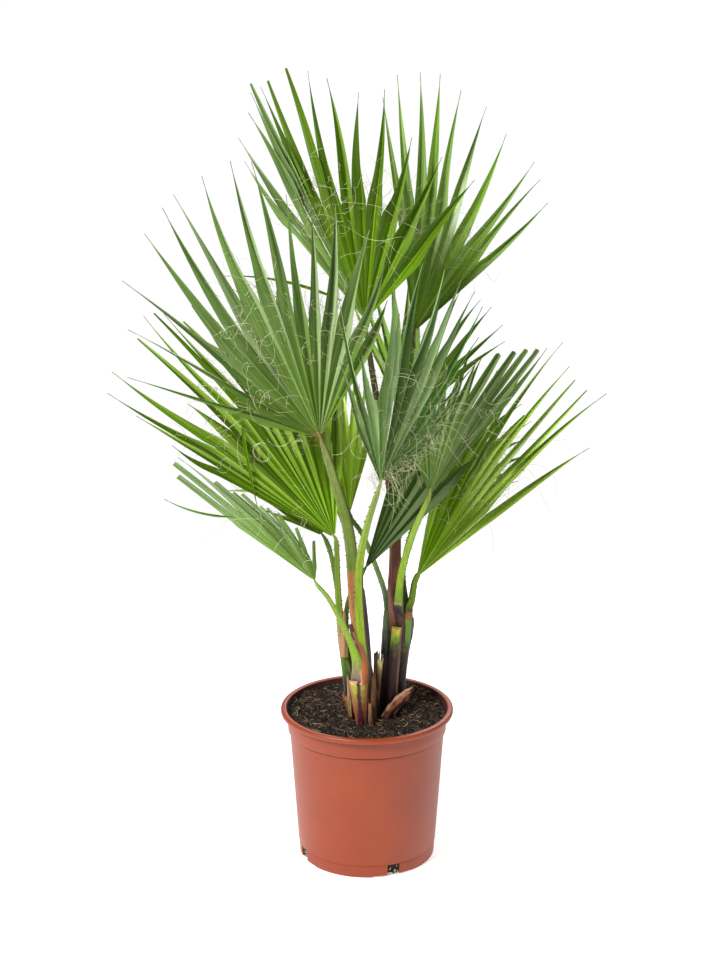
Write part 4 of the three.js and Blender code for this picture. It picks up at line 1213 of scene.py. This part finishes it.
def makeLeafBases():
    skins = {key: sheathSkin(*look) for key, look in baseLooks.items()}
    for number, base in enumerate(leafBases):
        foot, top = point(base['foot']), point(base['top'])
        ahead = (top - foot).normalized()
        facing = Vector((*circle(math.radians(base['facing'])), 0))
        across = facing.cross(ahead).normalized()
        across *= -1 if across.x < 0 else 1
        out = facing - ahead * facing.dot(ahead)

        def placeOf(u, v):
            x, y = circle(2 * math.pi * u)
            arch = 4 * v * (1 - v)
            half = mix(*base['halfWidths'], v) / 1000
            half *= (1 - base['point'] * v ** 3) * (1 + base['belly'] * arch)
            thin = base['halfThickness'] / 1000 * (0.35 + 0.65 * (1 - x * x))
            buckled = base['buckle'] / 1000 * noise.noise(Vector((x * 1.6, v * 7, number * 5.1)))
            torn = base['ragged'] * noise.noise(Vector((x * 3.5, number * 3.3, 1.0)))
            torn -= base['notch'] * (1 - abs(x)) ** 1.2
            place = foot.lerp(top, v) + across * (x * half + base['bow'] / 1000 * arch)
            place += out * (y * thin - base['wrap'] * half * 0.5 * x * x + buckled)
            place += ahead * (smooth((v - 0.9) / 0.1) * torn / 1000)
            place.z = max(place.z, soil['top'] - 0.003)
            return place

        piece = wrappedTube(base['name'], 48, 50, placeOf, skins[base['look']], 45)
        finishPiece(piece, base['slot'], base['node'])
    print('leaf bases made')


# Studio: a plain pale floor, and soft light from the upper left, the right and behind
lamps = [
    dict(name='keyLamp', place=(-1.8, -2.0, 2.6), size=0.9, power=147),
    dict(name='fillLamp', place=(2.2, -1.6, 1.6), size=1.2, power=10),
    dict(name='rearLamp', place=(0.6, 2.2, 2.2), size=1.8, power=45),
]


def makeStudio():
    bpy.ops.mesh.primitive_plane_add(size=2.6, location=(0, 0, -0.0004))
    floor = bpy.context.object
    floor.name = 'floor'
    bpy.ops.object.transform_apply()
    made, shader, *_ = newMaterial('studioFloorPaper')
    feed(shader, {'Base Color': hexColor('#F0F0F0'), 'Roughness': 0.9, 'Emission Color': (1, 1, 1, 1),
                  'Emission Strength': 0.5})
    floor.data.materials.append(made)

    # the paper behind is seen as white, but lights the plant less than the lamps do
    world = bpy.data.worlds.new('paleStudio')
    world.use_nodes = True
    seen = addNode(world.node_tree, 'LightPath', output='Is Camera Ray')
    strength = addNode(world.node_tree, 'MapRange', {'Value': seen, 'To Min': 0.32, 'To Max': 1.02})
    feed(world.node_tree.nodes['Background'], {'Color': (1, 1, 1, 1), 'Strength': strength})
    bpy.context.scene.world = world
    bpy.context.scene.view_settings.view_transform = 'Standard'

    for lamp in lamps:
        bpy.ops.object.light_add(type='AREA', location=lamp['place'])
        light = bpy.context.object
        light.name = lamp['name']
        light.data.size = lamp['size']
        light.data.energy = lamp['power']
        aim = Vector((0, 0, 0.6)) - Vector(lamp['place'])
        light.rotation_euler = aim.to_track_quat('-Z', 'Y').to_euler()


makeCamera()
makePot()
makeSoil()
makeClumps()
makeLeafBases()
makePetioles()
makeThreads(makeBlades())
makeSlotCrumbs()
makeStudio()
